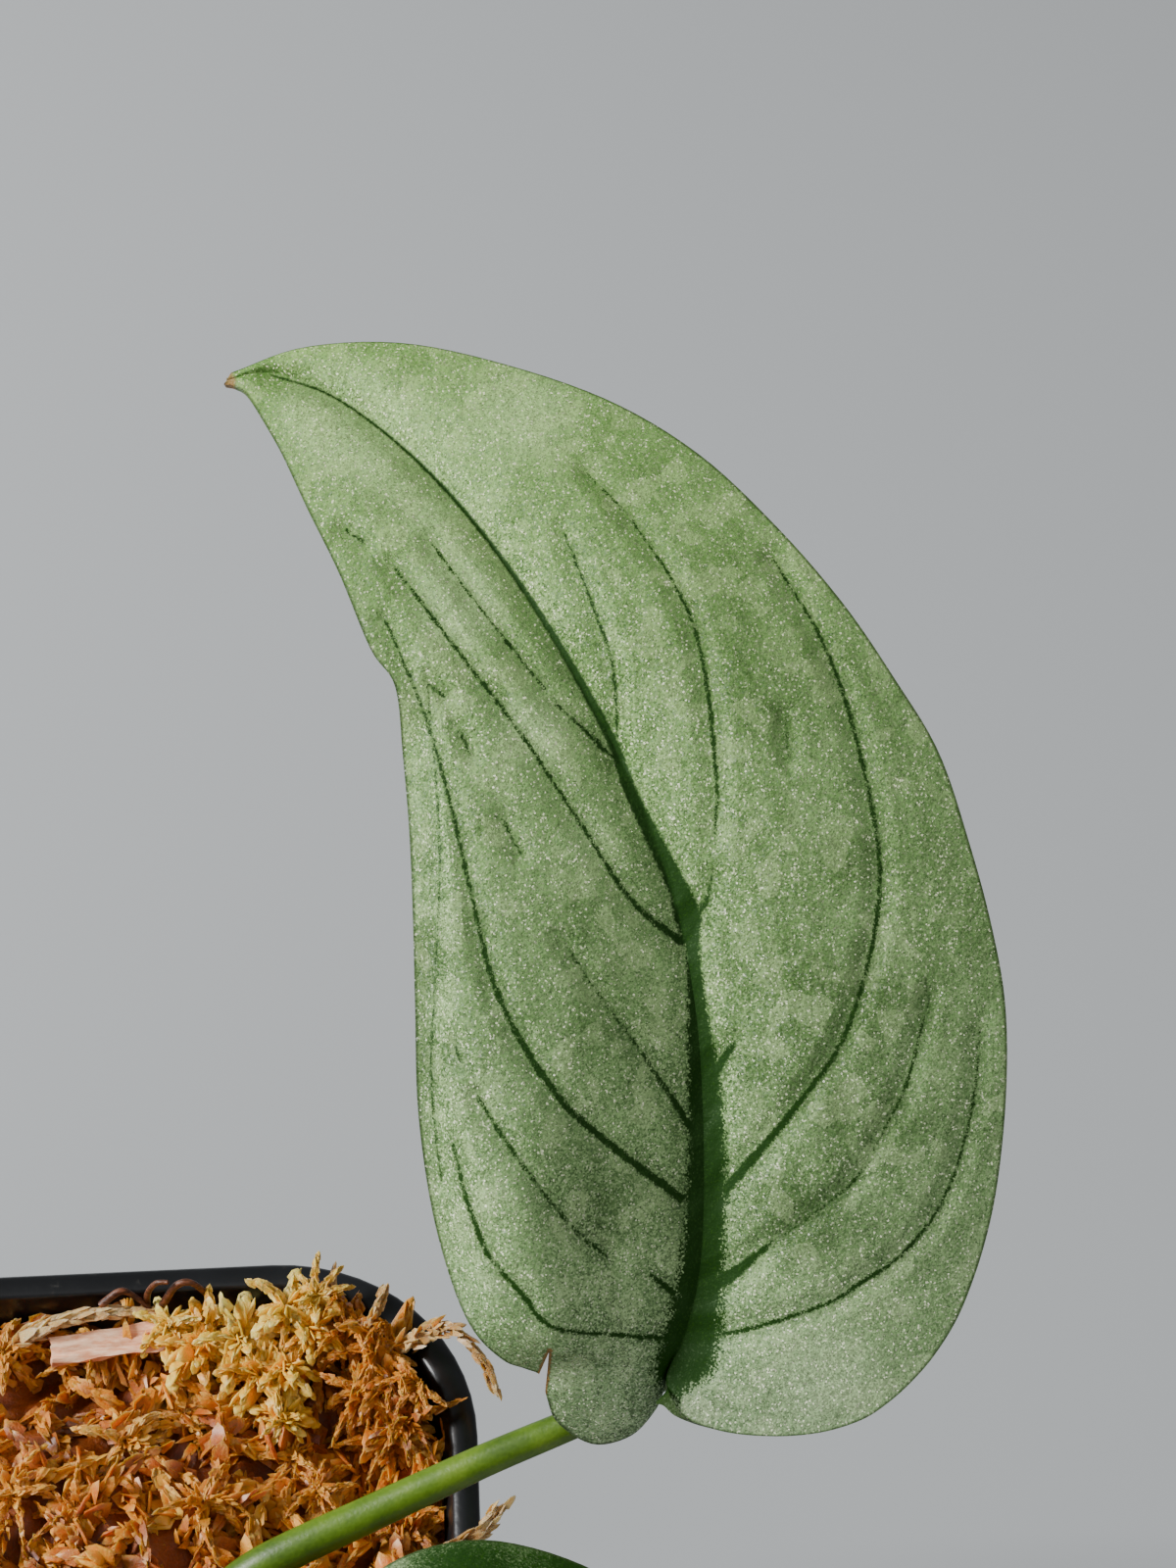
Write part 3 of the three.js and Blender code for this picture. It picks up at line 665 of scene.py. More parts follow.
chance = random.Random(LOOSE["seed"])
bm = moss_mesh()
for path in LOOSE_STRANDS:
    for strand in range(LOOSE["bunch"]):
        aside = Vector((chance.uniform(-0.5, 0.5), chance.uniform(-0.5, 0.5), chance.uniform(-0.4, 0.3)))
        points = [Vector(point) + aside for point in path]
        leafy_path(bm, chance, points, *(LOOSE[name] for name in ("leaves", "size", "lean", "wide", "tint")))
pressed_in(bm)
loose = object_of("moss_loose_strands", bm, straw, crease=MOSS_CREASE)
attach(loose, "root")
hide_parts("moss_bed")


# Scraps of other plants came with the moss. Wiry brown stems curl up at the back wall, and a split
# chip of pinkish bark lies before them.
WIRY_STEMS = [
    [(7.1, 30.4, 62.0), (7.0, 30.6, 65.0), (7.3, 30.6, 67.6), (8.2, 30.6, 69.2), (9.2, 30.4, 69.6)],
    [(8.4, 30.2, 66.4), (9.8, 30.4, 69.0), (11.1, 30.4, 69.3), (12.2, 30.2, 67.4), (12.8, 29.6, 64.4)],
    [(3.4, 30.2, 66.8), (5.1, 30.7, 68.0), (6.2, 30.6, 67.2), (7.4, 30.0, 66.0)],
]
WIRY_RADIUS = 0.32
BARK_CHIP = {
    "middle": (5.0, 27.7, 65.0), "size": (11.4, 2.3, 0.8), "turn": 6, "slope": 18, "cuts": 11,
    "rough": 0.35, "grain": (0.4, 1.6, 1.6),
}


def tube(bm, points, radius_at, steps, sides):
    """A round stalk along a smooth path in mm, closed at both ends."""
    rings = []
    side = None
    for k in range(steps + 1):
        share = k / steps
        centre = smooth_path(points, share)
        along = (smooth_path(points, share + 0.01) - smooth_path(points, share - 0.01)).normalized()
        side = along.orthogonal() if side is None else side - along * side.dot(along)
        side.normalize()
        turn = Matrix((side, along.cross(side), along)).transposed().to_4x4()
        matrix = Matrix.Translation(centre * MM) @ turn
        made = bmesh.ops.create_circle(bm, segments=sides, radius=radius_at(share) * MM, matrix=matrix)
        rings.append(made["verts"])
    edges = {edge for ring in rings for vert in ring for edge in vert.link_edges}
    for lower, upper in zip(rings, rings[1:]):
        between = set(lower) | set(upper)
        pair = [edge for edge in edges if edge.verts[0] in between and edge.verts[1] in between]
        bmesh.ops.bridge_loops(bm, edges=pair)
    bmesh.ops.contextual_create(bm, geom=rings[0])
    bmesh.ops.contextual_create(bm, geom=rings[-1])


def woody_finish(name, dark, pale, roughness):
    """Wood with fine grain that runs along X, from its dark lines to its pale face."""
    wood = Finish(name, {"Specular IOR Level": 0.4, "Roughness": roughness})
    along = wood.node("VectorMath", {"operation": "MULTIPLY"}, {0: wood.place(), 1: (0.2, 1, 1)})
    lines = wood.cloud(along, 0.35, detail=4, roughness=0.7)
    wood.feed("Base Color", wood.ramp(lines, (0.35, dark), (0.62, pale)))
    wood.feed("Normal", wood.bump(lines, 0.1))
    return wood


wiry = woody_finish("moss_wiry", shade(44, 20, 10), shade(122, 70, 42), roughness=0.42)
bark = woody_finish("moss_bark", shade(226, 150, 108), shade(255, 212, 176), roughness=0.6)

bm = bmesh.new()
for path in WIRY_STEMS:
    tube(bm, path, lambda share: WIRY_RADIUS * (1.1 - 0.5 * share), steps=36, sides=10)
closed_outward(bm)
wires = object_of("moss_wiry_stems", bm, wiry)
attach(wires, "root")
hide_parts("moss_bed")

bm = bmesh.new()
bmesh.ops.create_cube(bm, size=1)
bmesh.ops.subdivide_edges(bm, edges=bm.edges[:], cuts=BARK_CHIP["cuts"], use_grid_fill=True)
turn = Matrix.Rotation(math.radians(BARK_CHIP["turn"]), 4, "Z")
turn @= Matrix.Rotation(math.radians(BARK_CHIP["slope"]), 4, "X")
turn = Matrix.Translation(Vector(BARK_CHIP["middle"]) * MM) @ turn
for vert in bm.verts:
    point = Vector(side * share for side, share in zip(BARK_CHIP["size"], vert.co))
    rough = noise.noise_vector(point * Vector(BARK_CHIP["grain"])) * BARK_CHIP["rough"]
    vert.co = turn @ ((point + rough) * MM)
chip = object_of("moss_bark_chip", bm, bark)
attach(chip, "root")
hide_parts("moss_bed")


# The vine's short green stem stands in the moss, a little swollen at its joints, and fleshy roots
# leave its foot.
STEM_RADIUS = 1.9
STEM_ROUTE = [(12.2, -2.8, 42), (13.4, -1.4, 52), (14.8, -0.2, 62), (15.7, 0.4, 72.5)]
STEM_JOINTS = {"heights": (57, 70.5), "swell": 0.35, "reach": 1.3}
STEM_TIP = 0.06  # the share of its length that rounds off
ROOTS = {"count": 4, "radius": 0.9, "below": 0.7, "spread": 6.5, "length": 22}


def rounded_end(share, reach):
    """Falls from 1 to nearly 0 over the last of a stalk, so that its tip is a dome."""
    return math.sqrt(1.01 - (max(share - 1 + reach, 0) / reach) ** 2)


def stem_radius(share):
    z = STEM_ROUTE[0][2] + (STEM_ROUTE[-1][2] - STEM_ROUTE[0][2]) * share
    near = max(math.exp(-(((z - h) / STEM_JOINTS["reach"]) ** 2)) for h in STEM_JOINTS["heights"])
    return (STEM_RADIUS + STEM_JOINTS["swell"] * near) * rounded_end(share, STEM_TIP)


def stalk_finish(name):
    stalk = Finish(name, {"Specular IOR Level": 0.5, "Coat Weight": 0.1, "Coat Roughness": 0.3})
    place = stalk.place()
    cloudy = stalk.cloud(place, 5, detail=3)
    fine = stalk.cloud(place, 0.3, detail=3)
    green = stalk.ramp(
        cloudy + (fine - 0.5) * 0.25,
        (0.25, shade(50, 80, 4)),
        (0.5, shade(84, 116, 10)),
        (0.75, shade(112, 140, 30)),
    )
    stalk.feed("Base Color", green)
    stalk.feed("Roughness", 0.38 + fine * 0.15)
    stalk.feed("Normal", stalk.bump(fine, 0.03))
    return stalk


green_stalk = stalk_finish("stalk_green")

bm = bmesh.new()
tube(bm, STEM_ROUTE, stem_radius, steps=100, sides=24)
closed_outward(bm)
stem = object_of("vine_stem", bm, green_stalk)

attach(stem, "root")
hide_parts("stem")

fleshy = Finish("root_tan", {"Roughness": 0.7})
place = fleshy.place()
hairs = fleshy.cloud(place, 0.5, detail=4, roughness=0.7)
fleshy.feed("Base Color", fleshy.ramp(hairs, (0.3, shade(120, 84, 44)), (0.7, shade(206, 172, 118))))
fleshy.feed("Normal", fleshy.bump(hairs, 0.15))

bm = bmesh.new()
crown = Vector(STEM_ROUTE[0]) - Vector((0, 0, ROOTS["radius"] + ROOTS["below"]))
for k in range(ROOTS["count"]):
    turn = 0.6 + 1.7 * k
    out = Vector((math.cos(turn), math.sin(turn), 0)) * ROOTS["spread"]
    down = Vector((0, 0, -1))
    path = [
        crown - out * 0.1,
        crown + out * 0.45 + down * 3,
        crown + out + down * 0.55 * ROOTS["length"],
        crown + out * 0.8 + down * (ROOTS["length"] + 3 * k) + Vector((1, 2, 0)),
    ]
    tube(bm, path, lambda share: ROOTS["radius"] * (1.15 - 0.6 * share), steps=30, sides=12)
closed_outward(bm)
roots = object_of("vine_roots", bm, fleshy)

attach(roots, "root")
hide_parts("roots")


# The large leaf's blade is silvery green, stiff and satiny. It has two bulging halves, a tip that
# swings to the left and a torn left margin, and only its midrib and veins are plain dark green.
LARGE_LEAF = {"heart": (47.99, 8.95, 87.43), "yaw": -3, "tilt": 40, "roll": 0}
BLADE_THICKNESS = 0.65
RIB = {"deep": 0.8, "half": 0.9, "fade": 0.9}
LARGE_FORM = {
    "bow": {"deep": 3, "middle": 34, "reach": 40},
    "tip": {"deep": 5, "from": 52, "to": 80},
    "hump": {"left": 0.165, "left_at_tip": 0.085, "right": 0.105},
    "ridge": {"deep": 1.3, "at": 0.66, "reach": 0.3, "round": 0.05, "foot": (1, 5), "head": (14, 26)},
    "crest": {"left": 0.68, "right": 0.42},
    "fall": {"left": 0.8, "right": 1.2},
    "rolled_margin": {"deep": 1.2, "from": 0.82, "foot": (4, 12), "head": (46, 52)},
    "folded_lobe": {"crease": 3.1, "slope": 0.34},
    "lifted_lobe": {"from": 8, "slope": 0.16},
}

# One row for each cross line from heart to tip: its place on the midrib, on the left margin and
# on the right margin, in the blade's own plane.
LARGE_STATIONS = [
    (0.2, 0.0, 0.1, -0.7, 0.4, -0.6),
    (0.2, 0.5, -0.6, -2.4, 1.6, -2.2),
    (0.4, 1.1, -2.4, -4.4, 4.4, -3.2),
    (0.7, 1.8, -5.2, -5.0, 8.0, -3.5),
    (1.1, 2.6, -7.8, -3.2, 11.4, -3.2),
    (1.4, 3.3, -8.6, -1.1, 14.3, -2.3),
    (1.6, 4.0, -9.0, 0.65, 16.2, -1.1),
    (1.8, 4.7, -10.2, 1.3, 18.0, 0.5),
    (2.1, 5.8, -11.8, 2.05, 19.8, 2.6),
    (2.5, 7.7, -14.0, 4.5, 21.6, 5.6),
    (2.8, 10.8, -15.7, 8.5, 23.1, 9.7),
    (2.9, 15.1, -17.0, 13.6, 24.2, 14.9),
    (2.8, 20.5, -17.9, 20.5, 24.8, 21.7),
    (2.4, 26.6, -18.1, 27.7, 24.7, 28.1),
    (1.4, 32.7, -18.3, 34.8, 23.7, 33.8),
    (-0.1, 38.4, -18.6, 40.9, 22.1, 39.8),
    (-2.1, 43.7, -19.1, 46.4, 19.9, 46.4),
    (-4.8, 48.9, -19.6, 51.2, 16.7, 51.8),
    (-7.9, 54.3, -21.4, 53.9, 12.9, 57.5),
    (-11.2, 59.6, -23.8, 59.5, 8.1, 63.3),
    (-14.9, 64.6, -26.3, 64.4, 2.6, 68.7),
    (-19.3, 69.2, -28.4, 68.7, -3.9, 72.8),
    (-23.8, 72.7, -30.1, 71.6, -11.8, 75.7),
    (-27.7, 74.7, -31.3, 73.4, -19.6, 77.4),
    (-30.5, 75.1, -32.2, 74.0, -27.0, 77.1),
    (-32.8, 74.5, -33.0, 74.2, -32.5, 75.1),
]

# The dark green midrib and veins: points along each in the blade's plane, with the half width of
# the green there.
LARGE_MIDRIB = [
    (-29.4, 74.9, 0.10), (-24.7, 73.2, 0.14), (-19.4, 69.2, 0.16), (-14.3, 63.8, 0.20),
    (-9.2, 56.7, 0.26), (-4.2, 48.0, 0.40), (-2.4, 43.4, 0.50), (0.8, 36.9, 0.72),
    (1.7, 34.4, 0.95), (2.1, 31.4, 0.5), (2.6, 25.5, 0.85), (2.9, 22.7, 1.10),
    (3.1, 15.5, 1.35), (2.8, 9.6, 1.45), (2.3, 5.3, 1.8), (1.7, 2.4, 2.0),
    (0.8, 0.9, 1.35), (0.2, -0.7, 0.30),
]
LARGE_VEINS = [
    [(-23.3, 62.7, 0.16), (-22.0, 61.8, 0.10)],
    [(-19.8, 60.0, 0.10), (-15.6, 54.5, 0.15), (-10.8, 48.2, 0.17), (-5.9, 40.9, 0.16), (-2.4, 35.6, 0.20),
     (1.2, 32.6, 0.35)],
    [(-17.1, 61.8, 0.08), (-12.1, 55.2, 0.11), (-8.7, 51.0, 0.10)],
    [(-8.0, 50.0, 0.08), (-5.6, 47.8, 0.16), (-3.5, 45.8, 0.20)],
    [(-20.3, 56.0, 0.08), (-17.5, 49.3, 0.13), (-15.7, 43.4, 0.15), (-14.1, 36.7, 0.17),
     (-12.0, 28.9, 0.22), (-8.0, 22.0, 0.27), (-4.1, 18.2, 0.31), (1.2, 13.9, 0.36)],
    [(-17.1, 51.3, 0.10), (-16.0, 50.4, 0.10)],
    [(-15.0, 48.2, 0.09), (-14.1, 46.3, 0.12)],
    [(-11.7, 41.5, 0.08), (-10.5, 39.1, 0.12)],
    [(-15.3, 18.2, 0.13), (-14.2, 13.9, 0.20), (-12.9, 10.5, 0.24), (-12.0, 9.3, 0.15), (-10.2, 7.2, 0.25),
     (-8.2, 5.0, 0.20), (-3.8, 4.1, 0.17), (0.2, 3.5, 0.24)],
    [(-13.5, 21.7, 0.14), (-12.3, 19.8, 0.17), (-9.3, 15.5, 0.12), (-6.3, 11.8, 0.15), (-4.3, 10.0, 0.12)],
    [(-7.4, 32.9, 0.05), (-5.2, 29.5, 0.09), (-1.3, 24.1, 0.15), (1.8, 19.2, 0.30)],
    [(-15.1, 25.2, 0.11), (-14.7, 24.2, 0.13)],
    [(-17.2, 51.1, 0.05), (-16.3, 39.9, 0.06), (-16.6, 30.0, 0.06), (-16.9, 22.8, 0.09),
     (-16.2, 15.4, 0.08)],
    [(-7.3, 62.4, 0.07), (-5.1, 56.7, 0.11), (-3.7, 52.2, 0.12), (-3.4, 46.2, 0.08)],
    [(-5.6, 67.0, 0.04), (-1.8, 62.6, 0.10), (2.2, 55.2, 0.14), (3.7, 44.9, 0.17), (3.6, 40.5, 0.10)],
    [(3.4, 37.4, 0.08), (3.0, 35.6, 0.16), (1.5, 33.2, 0.40)],
    [(8.0, 60.5, 0.10), (12.0, 53.2, 0.16), (14.8, 43.1, 0.17), (15.4, 35.6, 0.17),
     (13.2, 26.6, 0.19), (9.6, 21.0, 0.25), (4.4, 14.5, 0.40)],
    [(8.7, 48.9, 0.07), (8.9, 45.8, 0.07)],
    [(3.0, 7.2, 0.55), (4.9, 8.3, 0.48), (6.4, 9.6, 0.30), (7.8, 10.9, 0.15)],
    [(8.6, 11.4, 0.03), (12.8, 14.6, 0.11), (14.2, 16.1, 0.13)],
    [(15.0, 17.6, 0.05), (16.7, 20.8, 0.13), (17.6, 23.0, 0.13), (19.1, 28.8, 0.05)],
    [(22.8, 27.2, 0.03), (22.3, 20.7, 0.10), (20.2, 13.9, 0.12), (17.1, 9.9, 0.15),
     (14.4, 8.0, 0.18), (11.8, 6.4, 0.16), (6.1, 4.4, 0.17), (1.6, 3.4, 0.20)],
    [(4.9, 25.1, 0.22), (3.5, 22.8, 0.42), (3.1, 21.2, 0.60)],
    [(-0.9, 8.3, 0.22), (0.7, 6.9, 0.30)],
]

# Places where the silver is thin and the green shows through, or where it lies thickest (minus). The thin
# patches at (-4.2, 13.6) and (-3.0, 25.8), left of the midrib low down, are painted shade on the slope that
# turns away from the light.
LARGE_PATCHES_AND_PAINTED_SHADE = [
    (7.8, 49.6, 3.4, 0.5), (13.4, 38.5, 2.2, 0.8), (15.5, 29.4, 4.2, 0.6), (13.5, 20.9, 3.6, 0.8),
    (9.5, 13.0, 3.2, 1.5), (8.5, 30.0, 4.5, 0.6), (-3.0, 25.8, 4.0, 0.3), (-4.2, 13.6, 4.4, 0.6),
    (5.0, 57.0, 4.0, 0.3), (-14.0, 32.9, 3.0, 0.5), (6.0, 38.0, 3.4, 0.5), (6.4, 24.0, 3.4, 0.5),
    (-17.0, 31.0, 2.2, 1.1), (-17.0, 24.0, 2.2, 0.9), (-26.0, 72.5, 3.5, -1.2), (-22.0, 70.6, 6.0, -1.7),
    (-14.8, 57.0, 4.0, -1.8), (-9.5, 48.0, 3.6, -1.5), (-16.5, 64.0, 4.0, -1.0), (-10.0, 72.0, 5.0, -1.6),
    (12.0, 1.0, 6.0, -1.5), (-13.0, 12.0, 3.4, -0.3), (-5.5, 40.0, 3.0, -1.0),
]
LARGE_BLEMISHES = [(-32.9, 74.4, 1.1)]

# The tear in its left margin, from one side of its mouth to its point and the other side.
LARGE_TEAR = [(-9.3, 0.4), (-8.35, 3.0), (-8.75, -0.9)]
TEAR_REACH = 4.8

# How finely the blade is cut, and how many silver flakes and paler or darker blocks lie in a metre.
LARGE_GRID = {"rows": 140, "columns": 64}
FINER_BY_VEINS = (0.55, 0.3)
FLAKES_PER_M = 8500
BLOCKS_PER_M = 600
BLOCK_WARP = 2


def rail(points, along):
    """Points on the smooth curve through the given ones, for all the values of along at once."""
    points = np.array(points, float)
    ends = np.vstack([2 * points[0] - points[1], points, 2 * points[-1] - points[-2]])
    at = np.clip(along * (len(points) - 1), 0, len(points) - 1 - 1e-9)
    k = at.astype(int)
    t = (at - k)[:, None]
    return between(ends[k], ends[k + 1], ends[k + 2], ends[k + 3], t)


def flat_blade(stations, across, along):
    """Where grid points lie in the blade's plane, and how wide its half is there."""
    rows = np.array(stations)
    middle, left, right = (rail(rows[:, k:k + 2], along) for k in (0, 2, 4))
    edge = np.where((across < 0)[:, None], left, right)
    width = np.linalg.norm(edge - middle, axis=1)
    return middle + (edge - middle) * np.abs(across)[:, None], width


def large_relief(y, across, width):
    """How far the upper face stands off the blade's plane."""
    form = LARGE_FORM
    left = across < 0
    share = np.abs(across)
    crest = np.where(left, form["crest"]["left"], form["crest"]["right"])
    turn = np.where(left, form["fall"]["left"], form["fall"]["right"])
    bow, tip = form["bow"], form["tip"]
    arch = -bow["deep"] * ((y - bow["middle"]) / bow["reach"]) ** 2
    arch -= tip["deep"] * ease(tip["from"], tip["to"], y)
    rise = np.sin(math.pi / 2 * np.minimum(share / crest, 1))
    fall = np.cos(turn * np.maximum((share - crest) / (1 - crest), 0))
    hump = form["hump"]
    steep = hump["left"] + (hump["left_at_tip"] - hump["left"]) * ease(20, 50, y)
    height = arch + np.where(left, steep, hump["right"]) * width * rise * fall
    ridge = form["ridge"]
    off = np.sqrt((share - ridge["at"]) ** 2 + ridge["round"] ** 2) / ridge["reach"]
    low = ease(*ridge["foot"], y) * (1 - ease(*ridge["head"], y))
    height += np.where(left, ridge["deep"] * np.maximum(1 - off, 0) * low, 0)
    roll = form["rolled_margin"]
    stretch = ease(*roll["foot"], y) * (1 - ease(*roll["head"], y))
    rolled = roll["deep"] * ease(roll["from"], 1, share) * stretch
    folded = form["folded_lobe"]["slope"] * np.maximum(form["folded_lobe"]["crease"] - y, 0)
    lifted = form["lifted_lobe"]["slope"] * share * np.maximum(form["lifted_lobe"]["from"] - y, 0)
    return height + np.where(left, -rolled - folded, lifted)


def gap_to(lines, flat):
    """How far each point lies outside the nearest of some tapering lines, less than 0 inside it."""
    nearest = np.full(len(flat), 1e3)
    for line in lines:
        fine = rail(line, np.linspace(0, 1, 6 * (len(line) - 1) + 1))
        for start, end in zip(fine, fine[1:]):
            step = (end - start)[:2]
            share = np.clip((flat - start[:2]) @ step / (step @ step), 0, 1)
            off = np.linalg.norm(flat - start[:2] - share[:, None] * step, axis=1)
            nearest = np.minimum(nearest, off - start[2] - share * (end[2] - start[2]))
    return nearest


def spots(places, flat):
    """The sum of soft round spots, each given by its middle, radius and strength."""
    total = np.zeros(len(flat))
    for x, y, radius, strength in places:
        total += strength * np.exp(-((flat[:, 0] - x) ** 2 + (flat[:, 1] - y) ** 2) / radius**2)
    return total


def leaf_frame(leaf):
    turns = [("yaw", "Z"), ("tilt", "X"), ("roll", "Y")]
    matrix = Matrix.Translation(Vector(leaf["heart"]) * MM)
    for name, axis in turns:
        matrix = matrix @ Matrix.Rotation(math.radians(leaf[name]), 4, axis)
    return matrix


def torn(bm, tear):
    """Cuts a wedge out of a flat blade: two cuts from its point, and what lies between them goes."""
    mouth, point, other = (Vector((x, y, 0)) for x, y in tear)
    middle = (mouth + other) / 2
    for corner in (mouth, other):
        near = [face for face in bm.faces if (face.calc_center_median() - point).length < TEAR_REACH]
        parts = {part for face in near for part in (face, *face.edges, *face.verts)}
        side = (corner - point).cross(Vector((0, 0, 1)))
        bmesh.ops.bisect_plane(bm, geom=list(parts), plane_co=point, plane_no=side)
    gone = []
    for face in bm.faces:
        off = face.calc_center_median() - point
        if off.length < TEAR_REACH:
            turns = [(corner - point).cross(off).z * (corner - point).cross(middle - point).z
                     for corner in (mouth, other)]
            if min(turns) > 0 and off.dot(middle - point) > 0:
                gone.append(face)
    bmesh.ops.delete(bm, geom=gone, context="FACES")


def blade_mesh(leaf, stations, relief, midrib, veins, patches, blemishes, rows, columns, tear=None):
    """A blade from a grid over its outline that is finer along the veins."""
    bm = bmesh.new()
    bmesh.ops.create_grid(bm, x_segments=columns, y_segments=rows, size=1)

    def laid_out():
        grid = np.array([vert.co[:2] for vert in bm.verts])
        across, along = grid[:, 0], (grid[:, 1] + 1) / 2
        return across, along, *flat_blade(stations, across, along)

    for reach in FINER_BY_VEINS:
        flat = laid_out()[2]
        near = np.minimum(gap_to(veins, flat), np.abs(gap_to([midrib], flat))) < reach
        bm.verts.index_update()
        finer = [edge for edge in bm.edges if near[edge.verts[0].index] or near[edge.verts[1].index]]
        bmesh.ops.subdivide_edges(bm, edges=finer, cuts=1, use_grid_fill=True, use_single_edge=True)

    places = laid_out()
    for name in ("across", "along"):
        bm.verts.layers.float.new(name)
    layers = [bm.verts.layers.float[name] for name in ("across", "along")]
    for k, vert in enumerate(bm.verts):
        vert[layers[0]], vert[layers[1]] = places[0][k], places[1][k]
        vert.co = (*places[2][k], 0)
    if tear:
        torn(bm, tear)
    across, along = (np.array([vert[layer] for vert in bm.verts]) for layer in layers)
    flat = np.array([vert.co[:2] for vert in bm.verts])
    width = flat_blade(stations, across, along)[1]
    margin = (1 - np.abs(across)) * width
    if tear:
        margin = np.minimum(margin, gap_to([[(*point, 0) for point in tear]], flat))
    measures = {
        "margin": margin,
        "vein": gap_to(veins, flat),
        "midrib": gap_to([midrib], flat),
        "patch": spots(patches, flat),
        "blemish": spots([(x, y, radius, 1) for x, y, radius in blemishes], flat),
        "fray": 0.1 + 0.9 * (1 - ease(0.25, 0.7, along)),
    }
    if tear:
        measures["blemish"] += 1 - ease(0.05, 0.3, gap_to([[(*point, 0) for point in tear]], flat))
    heights = relief(flat[:, 1], across, width)
    rib = RIB["deep"] * (1 - RIB["fade"] * along) * np.exp(-((np.abs(across) * width / RIB["half"]) ** 2))
    for name in measures:
        bm.verts.layers.float.new(name)
    layers = {name: bm.verts.layers.float[name] for name in measures}
    deep = bm.verts.layers.float.new("deep")
    for k, vert in enumerate(bm.verts):
        vert.co = Vector((*flat[k], heights[k])) * MM
        vert[deep] = BLADE_THICKNESS + rib[k]
        for name, values in measures.items():
            vert[layers[name]] = values[k]
    bm.normal_update()
    upper = bm.faces[:]
    if sum(face.normal.z for face in upper) < 0:
        bmesh.ops.reverse_faces(bm, faces=upper)
        bm.normal_update()
    facing = bm.verts.layers.float_vector.new("facing")
    deep = bm.verts.layers.float["deep"]
    for vert in bm.verts:
        vert[facing] = vert.normal
    for part in bmesh.ops.extrude_face_region(bm, geom=upper)["geom"]:
        if isinstance(part, bmesh.types.BMVert):
            part.co -= part[facing] * part[deep] * MM
        elif isinstance(part, bmesh.types.BMFace):
            part.material_index = 1
    closed_outward(bm)
    bmesh.ops.transform(bm, matrix=leaf_frame(leaf), verts=bm.verts[:])
    return bm


